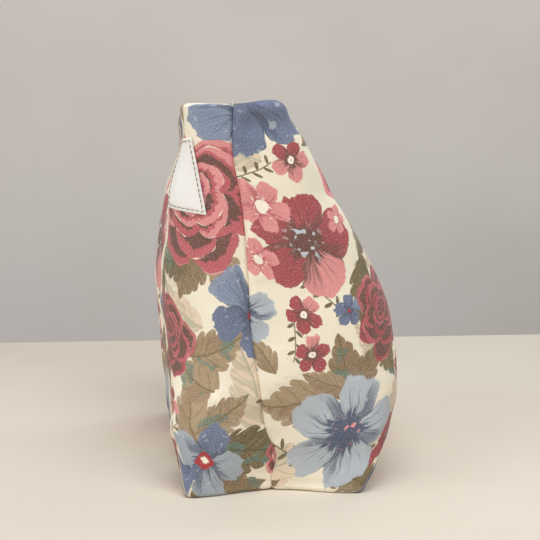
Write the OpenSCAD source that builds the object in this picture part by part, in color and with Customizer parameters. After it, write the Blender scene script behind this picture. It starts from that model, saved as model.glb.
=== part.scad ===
// Soft cosmetic bag with boxed corners: two lofted cloth panels, a loose lining,
// a closed zip with its slider and pull, and a small label sewn on the front panel.
// +Z is up, X runs along the zip, the front is -Y, and the origin is under the middle of the bag.

/* [Bag] */
// Height of the cloth body from the table to its roof
bag_height = 196; // [180:1:215]
// Length of the roof, along the zip
roof_length = 226; // [210:1:245]
// Length of the base
base_length = 204; // [188:1:216]
// Depth of the roof, front to back
roof_depth = 47; // [44:1:54]
// Greatest depth, front to back, at the middle of the length
belly_depth = 131; // [122:1:142]
// Depth of the base
base_depth = 93; // [85:1:102]
// How far the zip lies in front of the middle of the bag
zip_lean = 27; // [20:1:30]
// How far the middle of the base lies in front of the middle of the bag
base_lean = 6.5; // [0:0.5:10]
// Height of the fullest line of the front panel
front_belly_height = 105; // [90:1:120]
// Height of the fullest line of the back panel
back_belly_height = 60; // [45:1:75]
// How much fuller the back panel is above its fullest line than a plain taper
back_fullness = 11; // [0:0.5:14]
// Radius of the upright corners at half height
corner_radius = 38; // [28:1:42]
// Radius of the upright corners at the base
base_corner = 3; // [2.5:0.5:6]
// Radius of the upright corners at the roof
roof_corner = 4; // [3:0.5:6]
// How far the side seams are tucked in at the table
end_tuck = 10; // [4:0.5:12]
// Height over which the tuck fades out
tuck_height = 60; // [45:1:75]
// How far the panels bulge at mid-length, at half height
belly_bow = 5; // [3:0.5:8]
// How far the panels bulge at mid-length, at the roof and the base
edge_bow = 1.5; // [0.5:0.5:2.5]
// Radius of the pressed fold round the roof
roof_fold = 2; // [1.5:0.5:3]
// Radius of the fold round the base
base_fold = 2.5; // [2:0.5:4]

/* [Cloth] */
// Thickness of a panel with the stiffening bonded to it
panel_thickness = 1.2; // [0.8:0.1:1.6]
// Thickness of the lining
lining_thickness = 0.5; // [0.3:0.1:0.8]
// Gap between layers of cloth, and between two panels at a seam
cloth_gap = 0.3; // [0.25:0.05:0.4]

/* [Zip] */
// Width of the opening that the zip fills
slot_width = 12; // [11:0.5:14]
// Cloth left at each end of the opening
slot_end = 8; // [7:0.5:10]
// Width of tape sewn under the panel
tape_lap = 5; // [4:0.5:6]
// Thickness of the tape
tape_thickness = 0.7; // [0.5:0.1:0.9]
// Width of the closed chain of teeth
chain_width = 4.4; // [4:0.1:5]
// Height of the teeth above the tape
chain_height = 1.5; // [1.2:0.1:1.8]
// Distance from one tooth to the next on the same side
tooth_pitch = 2; // [1.8:0.1:3]
// Gap along the middle of the chain, which the neck of the slider passes through
chain_parting = 0.6; // [0.5:0.1:0.8]
// Length of the slider
slider_length = 10; // [9:0.5:12]
// Thickness of the slider's walls
slider_wall = 0.9; // [0.8:0.1:1.1]
// Length of the pull beyond its hinge
pull_length = 26; // [20:1:34]
// Width of the pull
pull_width = 7; // [6.5:0.5:9]
// Thickness of the pull
pull_thickness = 1.2; // [1:0.1:1.5]
// Radius of the pull's cross pin
pin_radius = 0.7; // [0.6:0.05:0.8]

/* [Label] */
// Width of the label, measured round the corner of the bag
label_width = 25; // [18:1:28]
// Height of the label
label_height = 37; // [25:1:42]
// Thickness of the label
label_thickness = 0.6; // [0.4:0.1:0.8]
// Distance from the roof down to the label
label_drop = 18; // [14:1:26]
// Distance from the side seam to the label, measured round the bag
label_from_seam = 20; // [16:1:24]

/* [Hidden] */
$fn = 48;

// How finely the cloth is faceted
end_steps = 4;
arc_steps = 6;
face_steps = 10;
label_steps = 9;

// Colours
print_ground = [0.93, 0.88, 0.78];
lining_colour = [0.95, 0.92, 0.86];
tape_colour = [0.92, 0.88, 0.8];
metal_colour = [0.72, 0.7, 0.66];
label_colour = [0.97, 0.96, 0.94];

// Depth stations of each panel at mid-length
front = -1;
back = 1;
belly_y = belly_depth / 2;
base_y = base_depth / 2;
roof_y = roof_depth / 2;
back_taper = 1.65;
end_flare = 2.2;
seam_lean = 0.85;
corner_fullness = 1.4;

// Layers of the roof from the cloth down, and the chain of teeth on the tape
seat_gap = 0.05;
tape_top = bag_height - panel_thickness - cloth_gap;
tape_bottom = tape_top - tape_thickness;
lining_top = tape_bottom - cloth_gap;
chain_bottom = tape_top + seat_gap;
chain_top = chain_bottom + chain_height;
slot_corner = 1.5;
slot_half = roof_length / 2 - roof_fold - slot_end;
tape_half = slot_half + slot_end / 2;
tape_width = slot_width / 2 + tape_lap - chain_parting / 2;
lining_slot_margin = 1;

// Zip chain, stops and slider along X
stop_length = 2;
stop_rise = 0.4;
slider_clear = 0.25;
chain_half = slot_half - 2 * stop_length;
tooth_spine = chain_width / 4;
tooth_share = 0.56;
slider_rest_x = -chain_half + slider_length / 2;
slider_half_width = chain_width / 2 + slider_clear + slider_wall;
slider_shoulder = 0.8;
plate_bottom = chain_top + slider_clear;
plate_top = plate_bottom + slider_wall;
keel_top = tape_bottom - slider_clear;
neck_width = chain_parting / 2;
neck_length = slider_length * 0.35;

// Bridge on the slider, and the pull that hangs on it by its cross pin
pin_clear = 0.12;
bridge_wall = 0.85;
bridge_radius = pin_radius + pin_clear + bridge_wall;
bridge_width = 2.2;
pin_z = plate_top + pull_thickness / 2 + pin_radius + 0.2;
arm_clear = 0.25;
arm_inner = bridge_width / 2 + arm_clear;
arm_width = 1.3;
pull_eye = bridge_radius + 1.1;
pull_rest_drop = pin_z - chain_top - slider_clear - pull_thickness / 2;
pull_rest_tilt = asin(pull_rest_drop / pull_length);

function mix(a, b, f) = a + (b - a) * f;
function smooth(f) = f * f * (3 - 2 * f);
function up(z) = z / bag_height;

// Panel depth at mid-length, as a distance in Y, for the front and the back
function front_face(z) = z < front_belly_height
    ? mix(-base_lean - base_y, -belly_y, sin(90 * z / front_belly_height))
    : mix(-belly_y, -zip_lean - roof_y,
        smooth((z - front_belly_height) / (bag_height - front_belly_height)));
function back_rise(z) = (z - back_belly_height) / (bag_height - back_belly_height);
function back_swell(f) = back_fullness * pow(sin(180 * f), 2) * (1 - 1.6 * f);
function back_face(z) = z < back_belly_height
    ? mix(-base_lean + base_y, belly_y, sin(90 * z / back_belly_height))
    : mix(belly_y, -zip_lean + roof_y, pow(back_rise(z), back_taper)) + back_swell(back_rise(z));
function face_y(side, z) = side == front ? front_face(z) : back_face(z);

// Side seam, end half-length, corner radius and mid-length bow at each height
function seam_y(z) = mix(-base_lean, -zip_lean, pow(up(z), seam_lean));
function half_length(z) = mix(base_length / 2, roof_length / 2, pow(up(z), end_flare));
function corner(z) = mix(base_corner, roof_corner, up(z))
    + (corner_radius - (base_corner + roof_corner) / 2) * pow(sin(180 * up(z)), corner_fullness);
function tuck(z) = end_tuck * (1 - smooth(min(z / tuck_height, 1)));
function bow(z) = mix(edge_bow, belly_bow, sin(180 * up(z)));

// How far the folds round the roof and the base draw the wall in
function fold_in(r, d) = d >= r ? 0 : r - sqrt(r * r - (r - d) * (r - d));
function drawn_in(z) = fold_in(roof_fold, bag_height - z) + fold_in(base_fold, z);

// Heights of the rows of points, from the roof to the table
fold_shares = [0, 0.12, 0.45, 1];
wall_top = bag_height - roof_fold;
wall_heights = concat(
    [for (s = fold_shares) bag_height - s * roof_fold],
    [for (i = [1 : 4]) mix(wall_top, front_belly_height, i / 5)],
    [for (i = [0 : 2]) mix(front_belly_height, back_belly_height, i / 3)],
    [for (i = [0 : 3]) mix(back_belly_height, base_fold, i / 4)],
    [for (i = [0 : 3]) base_fold * fold_shares[3 - i]]);

// Columns of points round half the bag, each a stretch of the outline and a share along it
columns = concat(
    [for (i = [0 : end_steps - 1]) [0, i / end_steps]],
    [for (i = [0 : arc_steps - 1]) [1, i / arc_steps]],
    [for (i = [0 : face_steps - 1]) [2, i / face_steps]],
    [for (i = [0 : arc_steps - 1]) [3, i / arc_steps]],
    [for (i = [0 : end_steps]) [4, i / end_steps]]);

// Angle that a corner stops short of a right angle, so that it runs on smoothly into the bowed face
function bow_angle(a, r, b) = atan(2 * b / (a - r));

// Half an outline with round corners: tucked end, corner, bowed face, corner, tucked end
function half_outline(a, w, r, b, t, c, gap) =
    let (d = bow_angle(a, r, b), e = w - r * cos(d), half_face = a - r + r * sin(d), f = c[1],
        turn = (90 - d) * (c[0] == 1 ? f : 1 - f), x = half_face * (1 - 2 * f))
    c[0] == 0 ? [a - t * (1 + cos(180 * f)) / 2, mix(gap, e, f)]
    : c[0] == 1 ? [a - r + r * cos(turn), e + r * sin(turn)]
    : c[0] == 2 ? [x, w + b * (1 - x * x / (half_face * half_face))]
    : c[0] == 3 ? [r - a - r * cos(turn), e + r * sin(turn)]
    : [t * (1 - cos(180 * f)) / 2 - a, mix(e, gap, f)];

function half_depth(side, z, inset) = abs(face_y(side, z) - seam_y(z)) - bow(z) - inset;
function limited_corner(z, inset, w) = min(max(corner(z) - inset, 1), 0.9 * w);

// One row of a wall at height z, drawn in by the folds of the roof and the base
function wall_row(side, z, inset, fold, gap) =
    let (w = half_depth(side, z, inset + fold), a = half_length(z) - inset - fold)
    [for (c = columns)
        let (p = half_outline(a, w, limited_corner(z, inset, w), bow(z), tuck(z), c, gap))
        [p.x, seam_y(z) + side * p.y, z]];

// The row round the zip opening
function slot_row(side, at_z, margin, gap) =
    [for (c = columns)
        let (p = half_outline(slot_half + margin, slot_width / 2 + margin, slot_corner, 0, 0, c, gap))
        [p.x, -zip_lean + side * p.y, at_z]];

// All rows of one surface of half the bag, from the zip opening to the edge of the base
function half_shell(side, low, high, inset, margin, gap) = concat(
    [slot_row(side, high, margin, gap)],
    [for (z = wall_heights) wall_row(side, mix(low, high, up(z)), inset, drawn_in(z), gap)]);

// Two triangles for each cell between two rows of n points
function cells(rows, n, start) =
    [for (i = [0 : rows - 2], j = [0 : n - 2], t = [0, 1])
        let (a = start + i * n + j)
        t == 0 ? [a, a + 1, a + n + 1] : [a, a + n + 1, a + n]];

// Two triangles for each step of a strip between two lists of points, one where the lists meet
function strip(p, q) =
    [for (i = [0 : len(p) - 2], t = [0, 1])
        let (f = t == 0 ? [p[i], q[i], q[i + 1]] : [p[i], q[i + 1], p[i + 1]])
        if (f[0] != f[1] && f[1] != f[2]) f];

function reversed(list) = [for (i = [len(list) - 1 : -1 : 0]) list[i]];
function flipped(faces) = [for (f = faces) reversed(f)];
function joined(rows) = [for (row = rows) each row];
function shifted(list, by) = [for (k = list) k + by];

// A closed sheet between an outer and an inner grid of points, its last row filled in if it has a floor
module sheet(outer, inner, floored, side) {
    rows = len(outer);
    n = len(outer[0]);
    far = rows * n;
    last = (rows - 1) * n;
    first_column = [for (i = [0 : rows - 1]) i * n];
    last_column = shifted(first_column, n - 1);
    first_row = [for (j = [0 : n - 1]) j];
    last_row = shifted(first_row, last);
    near_half = [for (j = [0 : (n - 1) / 2]) last + j];
    far_half = [for (j = [0 : (n - 1) / 2]) last + n - 1 - j];
    open_edge = floored ? [last, last + n - 1] : last_row;
    faces = concat(
        cells(rows, n, 0),
        flipped(cells(rows, n, far)),
        flipped(strip(first_column, shifted(first_column, far))),
        strip(last_column, shifted(last_column, far)),
        strip(first_row, shifted(first_row, far)),
        floored ? flipped(strip(near_half, far_half)) : [],
        floored ? strip(shifted(near_half, far), shifted(far_half, far)) : [],
        flipped(strip(open_edge, shifted(open_edge, far))));
    polyhedron(concat(joined(outer), joined(inner)), side == front ? faces : flipped(faces));
}

// One outer panel: half the roof, a face with half of both ends, and half the base
module panel(side) {
    gap = cloth_gap / 2;
    deep = panel_thickness;
    sheet(half_shell(side, 0, bag_height, 0, 0, gap),
        half_shell(side, deep, bag_height - deep, deep, 0, gap), true, side);
}

module front_panel() {
    color(print_ground) panel(front);
}

module back_panel() {
    color(print_ground) panel(back);
}

// The lining hangs inside the panels, two halves that are open at the zip like them
module lining() {
    inset = panel_thickness + cloth_gap;
    deep = inset + lining_thickness;
    gap = cloth_gap / 2;
    margin = lining_slot_margin;
    color(lining_colour)
        for (side = [front, back])
            sheet(half_shell(side, inset, lining_top, inset, margin, gap),
                half_shell(side, deep, lining_top - lining_thickness, deep, margin, gap), true, side);
}

// A strip of tape from the parting of the chain to under the panel
module tape(side) {
    inner = -zip_lean + side * chain_parting / 2;
    color(tape_colour)
        translate([-tape_half, side == back ? inner : inner - tape_width, tape_bottom])
        cube([2 * tape_half, tape_width, tape_thickness]);
}

module front_zip_tape() {
    tape(front);
}

module back_zip_tape() {
    tape(back);
}

// One side of the chain: a spine on the tape with teeth that reach the parting
module teeth(side) {
    count = floor(2 * chain_half / tooth_pitch) - 1;
    shift = side == front ? 0 : tooth_pitch / 2;
    start = -chain_half + (2 * chain_half - count * tooth_pitch) / 2;
    spine = chain_width / 2 - tooth_spine;
    tooth = tooth_pitch * tooth_share;
    tip = tooth * 0.7;
    middle = function(i) start + i * tooth_pitch + shift;
    comb = joined([for (i = [0 : count - 1])
        [[middle(i) - tooth / 2, spine], [middle(i) - tip / 2, chain_parting / 2],
            [middle(i) + tip / 2, chain_parting / 2], [middle(i) + tooth / 2, spine]]]);
    outline = concat([[-chain_half, chain_width / 2], [-chain_half, spine]], comb,
        [[chain_half, spine], [chain_half, chain_width / 2]]);
    color(tape_colour)
        translate([0, -zip_lean, chain_bottom])
        mirror([0, side == front ? 1 : 0, 0])
        linear_extrude(chain_height) polygon(outline);
}

module front_zip_teeth() {
    teeth(front);
}

module back_zip_teeth() {
    teeth(back);
}

// A stop pressed on the tape, higher than the chain so that the slider meets it
module stop(x, y_low, y_high) {
    color(metal_colour)
        translate([x, -zip_lean + y_low, chain_bottom])
        cube([stop_length, y_high - y_low, chain_height + stop_rise]);
}

module zip_top_stops() {
    x = -chain_half - slider_clear - stop_length;
    stop(x, chain_parting / 2, chain_width / 2);
    stop(x, -chain_width / 2, -chain_parting / 2);
}

module zip_bottom_stop() {
    stop(chain_half + slider_clear, -chain_width / 2, chain_width / 2);
}

// Slider outline from above: shoulders at the end that parts the chain, narrower behind
module slider_outline(wide) {
    h = slider_length / 2;
    w = slider_half_width;
    s = wide ? slider_shoulder : 0;
    polygon([[-h, -w - s + 1], [-h + 1, -w - s], [-h + 3, -w - s], [0, -w], [h - 1, -w], [h, -w + 1],
        [h, w - 1], [h - 1, w], [0, w], [-h + 3, w + s], [-h + 1, w + s], [-h, w + s - 1]]);
}

// The bridge over the pull's cross pin
module bridge() {
    rotate([90, 0, 0])
        linear_extrude(bridge_width, center = true)
        difference() {
            union() {
                translate([0, pin_z]) circle(bridge_radius);
                translate([-bridge_radius, plate_bottom + slider_wall / 2])
                    square([2 * bridge_radius, pin_z - plate_bottom - slider_wall / 2]);
            }
            translate([0, pin_z]) circle(pin_radius + pin_clear);
        }
}

// Slider: plate and two flanges over the chain, a neck through its parting, a keel plate under the tape
module zip_slider() {
    flange_height = plate_bottom - tape_top - slider_clear + slider_wall / 2;
    flange_y = slider_half_width - slider_wall / 2;
    flange_low = tape_top + slider_clear;
    color(metal_colour)
        translate([slider_rest_x, -zip_lean, 0])
        union() {
            translate([0, 0, plate_bottom]) linear_extrude(slider_wall) slider_outline(true);
            for (side = [front, back])
                translate([1 - slider_length / 2, side * flange_y - slider_wall / 2, flange_low])
                cube([slider_length - 2, slider_wall, flange_height]);
            translate([-slider_length / 2 + 1, -neck_width / 2, keel_top - slider_wall / 2])
                cube([neck_length, neck_width, plate_bottom - keel_top + slider_wall]);
            translate([0, 0, keel_top - slider_wall]) linear_extrude(slider_wall) slider_outline(false);
            bridge();
        }
}

// Pull seen flat: two arms round the bridge, then a blade with a round end
module pull_outline() {
    outer = arm_inner + arm_width;
    wide = pull_width / 2;
    round_x = pull_length - wide;
    difference() {
        union() {
            for (side = [front, back])
                translate([0, side * (arm_inner + arm_width / 2)]) {
                    circle(arm_width / 2);
                    translate([0, -arm_width / 2]) square([pull_eye + arm_width, arm_width]);
                }
            polygon([[pull_eye, -outer], [pull_eye, outer], [pull_length / 2, wide], [round_x, wide],
                [round_x, -wide], [pull_length / 2, -wide]]);
            translate([round_x, 0]) circle(wide);
        }
        translate([round_x, 0]) circle(pull_width / 5);
    }
}

// Pull lying along the chain, its tip just clear of the teeth
module zip_pull() {
    color(metal_colour)
        translate([slider_rest_x, -zip_lean, pin_z])
        rotate([0, pull_rest_tilt, 0])
        union() {
            translate([0, 0, -pull_thickness / 2]) linear_extrude(pull_thickness) pull_outline();
            rotate([90, 0, 0]) cylinder(h = 2 * arm_inner + arm_width, r = pin_radius, center = true);
        }
}

// A point on the front panel, u round the outline from the side seam, lift out from the cloth
function front_point(u, z, lift) =
    let (w = half_depth(front, z, -lift), r = limited_corner(z, -lift, w), a = half_length(z) + lift,
        d = bow_angle(a, r, bow(z)), e = w - r * cos(d), turn = max(0, u - e) / r * 180 / PI,
        half_face = a - r + r * sin(d), x = half_face - (turn - 90 + d) * r * PI / 180)
    turn == 0 ? [a, seam_y(z) - u, z]
    : turn < 90 - d ? [a - r + r * cos(turn), seam_y(z) - e - r * sin(turn), z]
    : [x, seam_y(z) - w - bow(z) * (1 - x * x / (half_face * half_face)), z];

// The label lies on the front panel round the corner of the bag
module label() {
    label_bottom = bag_height - label_drop - label_height;
    shell = function(lift) [for (i = [label_steps : -1 : 0])
        [for (j = [0 : label_steps])
            front_point(label_from_seam + label_width * j / label_steps,
                label_bottom + label_height * i / label_steps, lift)]];
    seat = cloth_gap + seat_gap;
    color(label_colour) sheet(shell(seat + label_thickness), shell(seat), false, front);
}

front_panel();
back_panel();
lining();
front_zip_tape();
back_zip_tape();
front_zip_teeth();
back_zip_teeth();
zip_top_stops();
zip_bottom_stop();
zip_slider();
zip_pull();
label();
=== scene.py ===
"""Soft cosmetic bag in flowered cotton: two lofted panels, a lining, a closed zip and a sewn label."""
import math

import bmesh
import bpy
import numpy as np
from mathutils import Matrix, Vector


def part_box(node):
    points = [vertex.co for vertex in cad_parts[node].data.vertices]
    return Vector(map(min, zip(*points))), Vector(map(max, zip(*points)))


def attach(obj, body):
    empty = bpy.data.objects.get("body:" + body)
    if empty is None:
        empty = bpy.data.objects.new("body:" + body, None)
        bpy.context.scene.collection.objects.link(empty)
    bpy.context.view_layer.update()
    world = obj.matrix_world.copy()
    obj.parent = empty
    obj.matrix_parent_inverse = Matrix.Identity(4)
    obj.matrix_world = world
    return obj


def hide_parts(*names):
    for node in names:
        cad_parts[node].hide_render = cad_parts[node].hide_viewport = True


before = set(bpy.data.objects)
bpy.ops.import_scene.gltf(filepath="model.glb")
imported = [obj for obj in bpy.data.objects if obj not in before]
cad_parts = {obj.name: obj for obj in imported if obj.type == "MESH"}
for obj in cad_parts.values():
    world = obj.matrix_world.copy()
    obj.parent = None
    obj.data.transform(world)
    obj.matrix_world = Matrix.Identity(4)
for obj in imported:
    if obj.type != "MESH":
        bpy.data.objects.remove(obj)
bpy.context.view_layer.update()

# Sizes of the bag in millimetres, along X, Y and Z of the frame
MM = 0.001
FRONT, BACK = -1, 1
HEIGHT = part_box("front_panel")[1].z / MM
ROOF_HALF_LENGTH = 113.0
BASE_HALF_LENGTH = 102.0
ROOF_HALF_DEPTH = 23.5
BASE_HALF_DEPTH = 46.5
BELLY_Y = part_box("back_panel")[1].y / MM
ZIP_Y = -27.0
BASE_MIDDLE_Y = -6.5
FRONT_BELLY_Z = 105.0
BACK_BELLY_Z = 60.0
BACK_FULLNESS = 11.0
CORNER_RADIUS = 38.0
BASE_CORNER = 3.0
ROOF_CORNER = 4.0
LEAST_CORNER = 1.0
BELLY_BOW = 5.0
EDGE_BOW = 1.5
ROOF_FOLD = 2.0
BASE_FOLD = 2.5
BASE_MITRE = 0.8
BASE_SEAM_HALF_GAP = 0.1
END_TUCK = 10.0
TUCK_HEIGHT = 60.0
SLOT_HALF_WIDTH = 6.0
SLOT_HALF_LENGTH = 103.0
SLOT_CORNER = 1.5
PANEL_THICKNESS = 0.9
LINING_INSET = 3.2
LINING_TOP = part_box("lining")[1].z / MM
LINING_THICKNESS = 0.4
LINING_SEAM_GAP = 0.1

# Powers that bend the rise of the side seams, the ends, the back and the corners
SEAM_POWER, END_POWER, BACK_POWER, CORNER_POWER = 0.85, 2.2, 1.65, 1.4

# How fast the back's fullness is lost towards the roof, and the largest corner as a share of its depth
FULLNESS_LOSS = 1.6
CORNER_LIMIT = 0.9

# Steps of a panel's grid of points, and the lining's share of them
END_STEPS, CORNER_STEPS, HALF_FACE_STEPS = 26, 22, 34
ROOF_ROWS, FOLD_ROWS, WALL_ROWS, BASE_ROWS = 9, 6, 110, 18
LINING_DETAIL = 0.4

# Power that draws columns of points closer to the side seams
NEAR_SEAM_POWER = 1.6

# Rows of the edge turned in at the zip: margin outside its slot, and drop below the roof
TURNED_EDGE = ((0, 1.0), (0.1, 0.45), (0.45, 0.1), (1.0, 0))

# Least height of a sheet's inner wall above the lowest point of its outer one
INNER_WALL_RISE = 0.02

# Soft relief, as rows of height, middle and width: along Z, and down from the roof for its edge
SEAM_WANDER = ((-2.6, 172, 18), (-1.5, 85, 25), (4.4, 19, 10))
FRONT_RELIEF = ((1.6, 152, 14), (-1.2, 178, 10), (1.0, 194, 6), (1.2, 34, 12), (-1.2, 72, 18))
BACK_RELIEF = ((-1.3, 153, 11), (-0.9, 130, 12), (-1.2, 110, 14), (-0.8, 42, 10), (-1.2, 20, 8))
ROOF_EDGE_RELIEF = ((1.0, 3.5, 2.5), (-1.2, 11, 5))
LABEL_CORNER_OUT = 1.9
DEEPEST_DENT = -2.1

# Ramps, as start and length. From the seam: relief of each panel, both ends of the roll along the roof edge
FRONT_RELIEF_RAMP, BACK_RELIEF_RAMP = (18, 20), (20, 25)
ROLL_BEGINS, ROLL_ENDS = (2, 6), (28, 16)
# Up the wall and along it: the corner under the label; up: where the wall gives way to the roof
LABEL_CORNER_UP, LABEL_CORNER_ALONG = (110, 40), (60, 30)
ROOF_LINE = (HEIGHT - 2.5, 2)
# Down from the roof and up from the base: the wall's creases; from the seam: how soon they begin
CREASES_DOWN, CREASES_UP = (1, 6), (2, 8)
SEAM_HOLD = 1.6

# Side seams: depth of the groove on the roof and below it, its width; depth and width of the dip round it
GROOVE_DEPTHS, GROOVE_WIDTH = (0.4, 1.2), 0.9
DIP_DEPTH, DIP_WIDTH = 0.4, 6.0

# The back's seam allowance: height at the base and the roof, distance from the seam, width
ALLOWANCE_HEIGHTS, ALLOWANCE_FROM_SEAM, ALLOWANCE_WIDTH = (0.4, 1.1), 3.0, 4.0

# Puckers along the seams, how uneven they are, and the crease along the foot of each end
PUCKER_HEIGHT, PUCKER_PITCH, PUCKER_REACH = 0.3, 11.0, 9.0
PUCKER_DRIFT, DRIFT_LENGTH = 1.3, 17
FOOT_CREASE_DEPTH, FOOT_CREASE_Z, FOOT_CREASE_WIDTH = 0.9, 4.6, 0.9
FOOT_CREASE_ENDS = (24, 10)

# Random creases: size of their waves, height and seed; number of waves, and spread of their sizes
CREASES = ((62, 0.85, 4), (24, 0.35, 9))
WAVES = 9
WAVE_SPREAD = (0.7, 1.5)

# Share of the creases lost under the label, and the middle and width of that place across and down the cloth
CALM_SHARE, CALM_U, CALM_V = 0.8, (100, 34), (57, 40)

# Soft folds on both panels: u, v, turn from the downward direction in degrees, length, width, height
FOLDS = ((86, 58, 34, 30, 5.5, 1.2), (72, 50, 26, 26, 4.5, -0.9), (-86, 58, -34, 30, 5.5, 0.9),
         (-72, 50, -26, 26, 4.5, -0.9), (80, 196, -42, 28, 6, 1.1), (64, 204, -30, 22, 5, -0.9),
         (-80, 196, 42, 28, 6, 0.7), (-64, 204, 30, 22, 5, -0.9), (-22, 118, 12, 46, 8, -1.0),
         (34, 96, -8, 40, 7, 0.9), (6, 168, 74, 42, 8, -0.8), (48, 140, 60, 30, 6, -0.7),
         (-46, 92, -62, 34, 7, 0.8))
FOLD_SHARE = 1.6
FOLD_BEND = 0.04

# The roof: depth of its sag, half its length, how softly it ends, and share and length of its waves
SAG_DEPTH, SAG_HALF_LENGTH, SAG_FADE = 1.5, 96, 60
SAG_WAVE, SAG_WAVE_LENGTH = 0.5, 13

# The roof's ends: depth of the dip in line with the zip, and rises beside it as height, start and length
END_DIP = 0.7
END_RISES = {FRONT: ((0.5, 0, 18),), BACK: ((0.85, 0, 1.8), (1.5, 3.5, 14))}

# Ramps of the roof's relief, as start and length: along the bag, up the wall and from the zip's slot
ROOF_END, ROOF_EDGE, SLOT_EDGE = (60, 40), (HEIGHT - 14, 14), (1.5, 7)

# Millimetres of cloth across a piece's own map
MAP_SIZE = 640.0


def mix(a, b, f):
    return a + (b - a) * f


def smooth(f):
    f = np.clip(f, 0, 1)
    return f * f * (3 - 2 * f)


def ramp(x, start, length):
    """0 up to start, 1 from one length after it, smooth between."""
    return smooth((x - start) / length)


def bump(x, middle, width):
    return np.exp(-(((x - middle) / width) ** 2))


def relief(x, rows):
    return sum(height * bump(x, middle, width) for height, middle, width in rows)


def unit(n):
    return n / np.maximum(np.linalg.norm(n, axis=-1, keepdims=True), 1e-9)


# Shape of the cloth body, the same rules as its solids

def rise(z, low=0.0, high=HEIGHT):
    """Share of the way up from one height to another."""
    return np.clip((z - low) / (high - low), 0, 1)


def front_face(z):
    low = mix(BASE_MIDDLE_Y - BASE_HALF_DEPTH, -BELLY_Y, np.sin(np.pi / 2 * rise(z, 0, FRONT_BELLY_Z)))
    high = mix(-BELLY_Y, ZIP_Y - ROOF_HALF_DEPTH, smooth(rise(z, FRONT_BELLY_Z)))
    return np.where(z < FRONT_BELLY_Z, low, high)


def back_face(z):
    low = mix(BASE_MIDDLE_Y + BASE_HALF_DEPTH, BELLY_Y, np.sin(np.pi / 2 * rise(z, 0, BACK_BELLY_Z)))
    up = rise(z, BACK_BELLY_Z)
    high = mix(BELLY_Y, ZIP_Y + ROOF_HALF_DEPTH, up ** BACK_POWER)
    high = high + BACK_FULLNESS * np.sin(np.pi * up) ** 2 * (1 - FULLNESS_LOSS * up)
    return np.where(z < BACK_BELLY_Z, low, high)


def seam_y(z, sewn=True):
    """Y of the side seams; as sewn they wander a little from their straight line."""
    straight = mix(BASE_MIDDLE_Y, ZIP_Y, rise(z) ** SEAM_POWER)
    return straight + (relief(z, SEAM_WANDER) if sewn else 0)


def half_length(z):
    return mix(BASE_HALF_LENGTH, ROOF_HALF_LENGTH, rise(z) ** END_POWER)


def swell(z):
    return np.sin(np.pi * rise(z))


def corner(z, outset, depth):
    """Corner radius of an outline that is set out by so much and has this depth."""
    plain = mix(BASE_CORNER, ROOF_CORNER, z / HEIGHT)
    plain = plain + (CORNER_RADIUS - (BASE_CORNER + ROOF_CORNER) / 2) * swell(z) ** CORNER_POWER
    return np.minimum(np.maximum(plain + outset, LEAST_CORNER), CORNER_LIMIT * depth)


def bow(z):
    return mix(EDGE_BOW, BELLY_BOW, swell(z))


def tuck(z):
    return END_TUCK * (1 - smooth(z / TUCK_HEIGHT))


def corner_frame(half, depth, radius, bowed):
    """Slope of the bowed face at the corner, depth of the end beside the seam, half the face's length."""
    slope = np.arctan(2 * bowed / (half - radius))
    return slope, depth - radius * np.cos(slope), half - radius + radius * np.sin(slope)


def half_outline(half, depth, radius, bowed, tucked, stretch, f):
    """Points round half the bag: tucked end, corner, bowed face, corner, tucked end."""
    slope, end_depth, half_face = corner_frame(half, depth, radius, bowed)
    turn = (np.pi / 2 - slope) * np.where(stretch == 1, f, 1 - f)
    x_corner = half - radius + radius * np.cos(turn)
    y_corner = end_depth + radius * np.sin(turn)
    x_face = half_face * (1 - 2 * f)
    y_face = depth + bowed * (1 - (x_face / half_face) ** 2)
    first_end = half - tucked * (1 + np.cos(np.pi * f)) / 2
    last_end = tucked * (1 - np.cos(np.pi * f)) / 2 - half
    cases = [stretch == k for k in range(4)]
    x = np.select(cases, [first_end, x_corner, x_face, -x_corner], last_end)
    y = np.select(cases, [end_depth * f, y_corner, y_face, y_corner], end_depth * (1 - f))
    return x, y


def panel_columns(end, arc, face):
    """Columns of points round half the bag, closer together near the side seams."""
    near = np.linspace(0, 1, end + 1) ** NEAR_SEAM_POWER
    round_corner = np.linspace(0, 1, arc + 1)[:-1]
    along_face = np.linspace(0, 1, face + 1)[:-1]
    steps = [near[:-1], round_corner, along_face, round_corner, 1 - near[::-1]]
    stretch = np.concatenate([np.full(len(f), k) for k, f in enumerate(steps)])
    return stretch, np.concatenate(steps)


def wall_rows(side, z, fold, inset, stretch, f):
    """Rows at these heights, each drawn in by its fold at the roof or the base."""
    z, fold = z[:, None], fold[:, None]
    face = front_face(z) if side == FRONT else back_face(z)
    depth = np.abs(face - seam_y(z)) - bow(z) - inset - fold
    half = half_length(z) - inset - fold
    x, y = half_outline(half, depth, corner(z, -inset, depth), bow(z), tuck(z), stretch[None], f[None])
    return np.stack([x, seam_y(z) + side * y, np.broadcast_to(z, x.shape)], -1)


def slot_row(side, margin, z, stretch, f):
    """One row round half the zip's slot."""
    one = np.ones((1, 1))
    half, depth = (SLOT_HALF_LENGTH + margin) * one, (SLOT_HALF_WIDTH + margin) * one
    x, y = half_outline(half, depth, SLOT_CORNER * one, 0 * one, 0 * one, stretch[None], f[None])
    return np.stack([x, ZIP_Y + side * y, np.full(x.shape, z)], -1)


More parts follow.
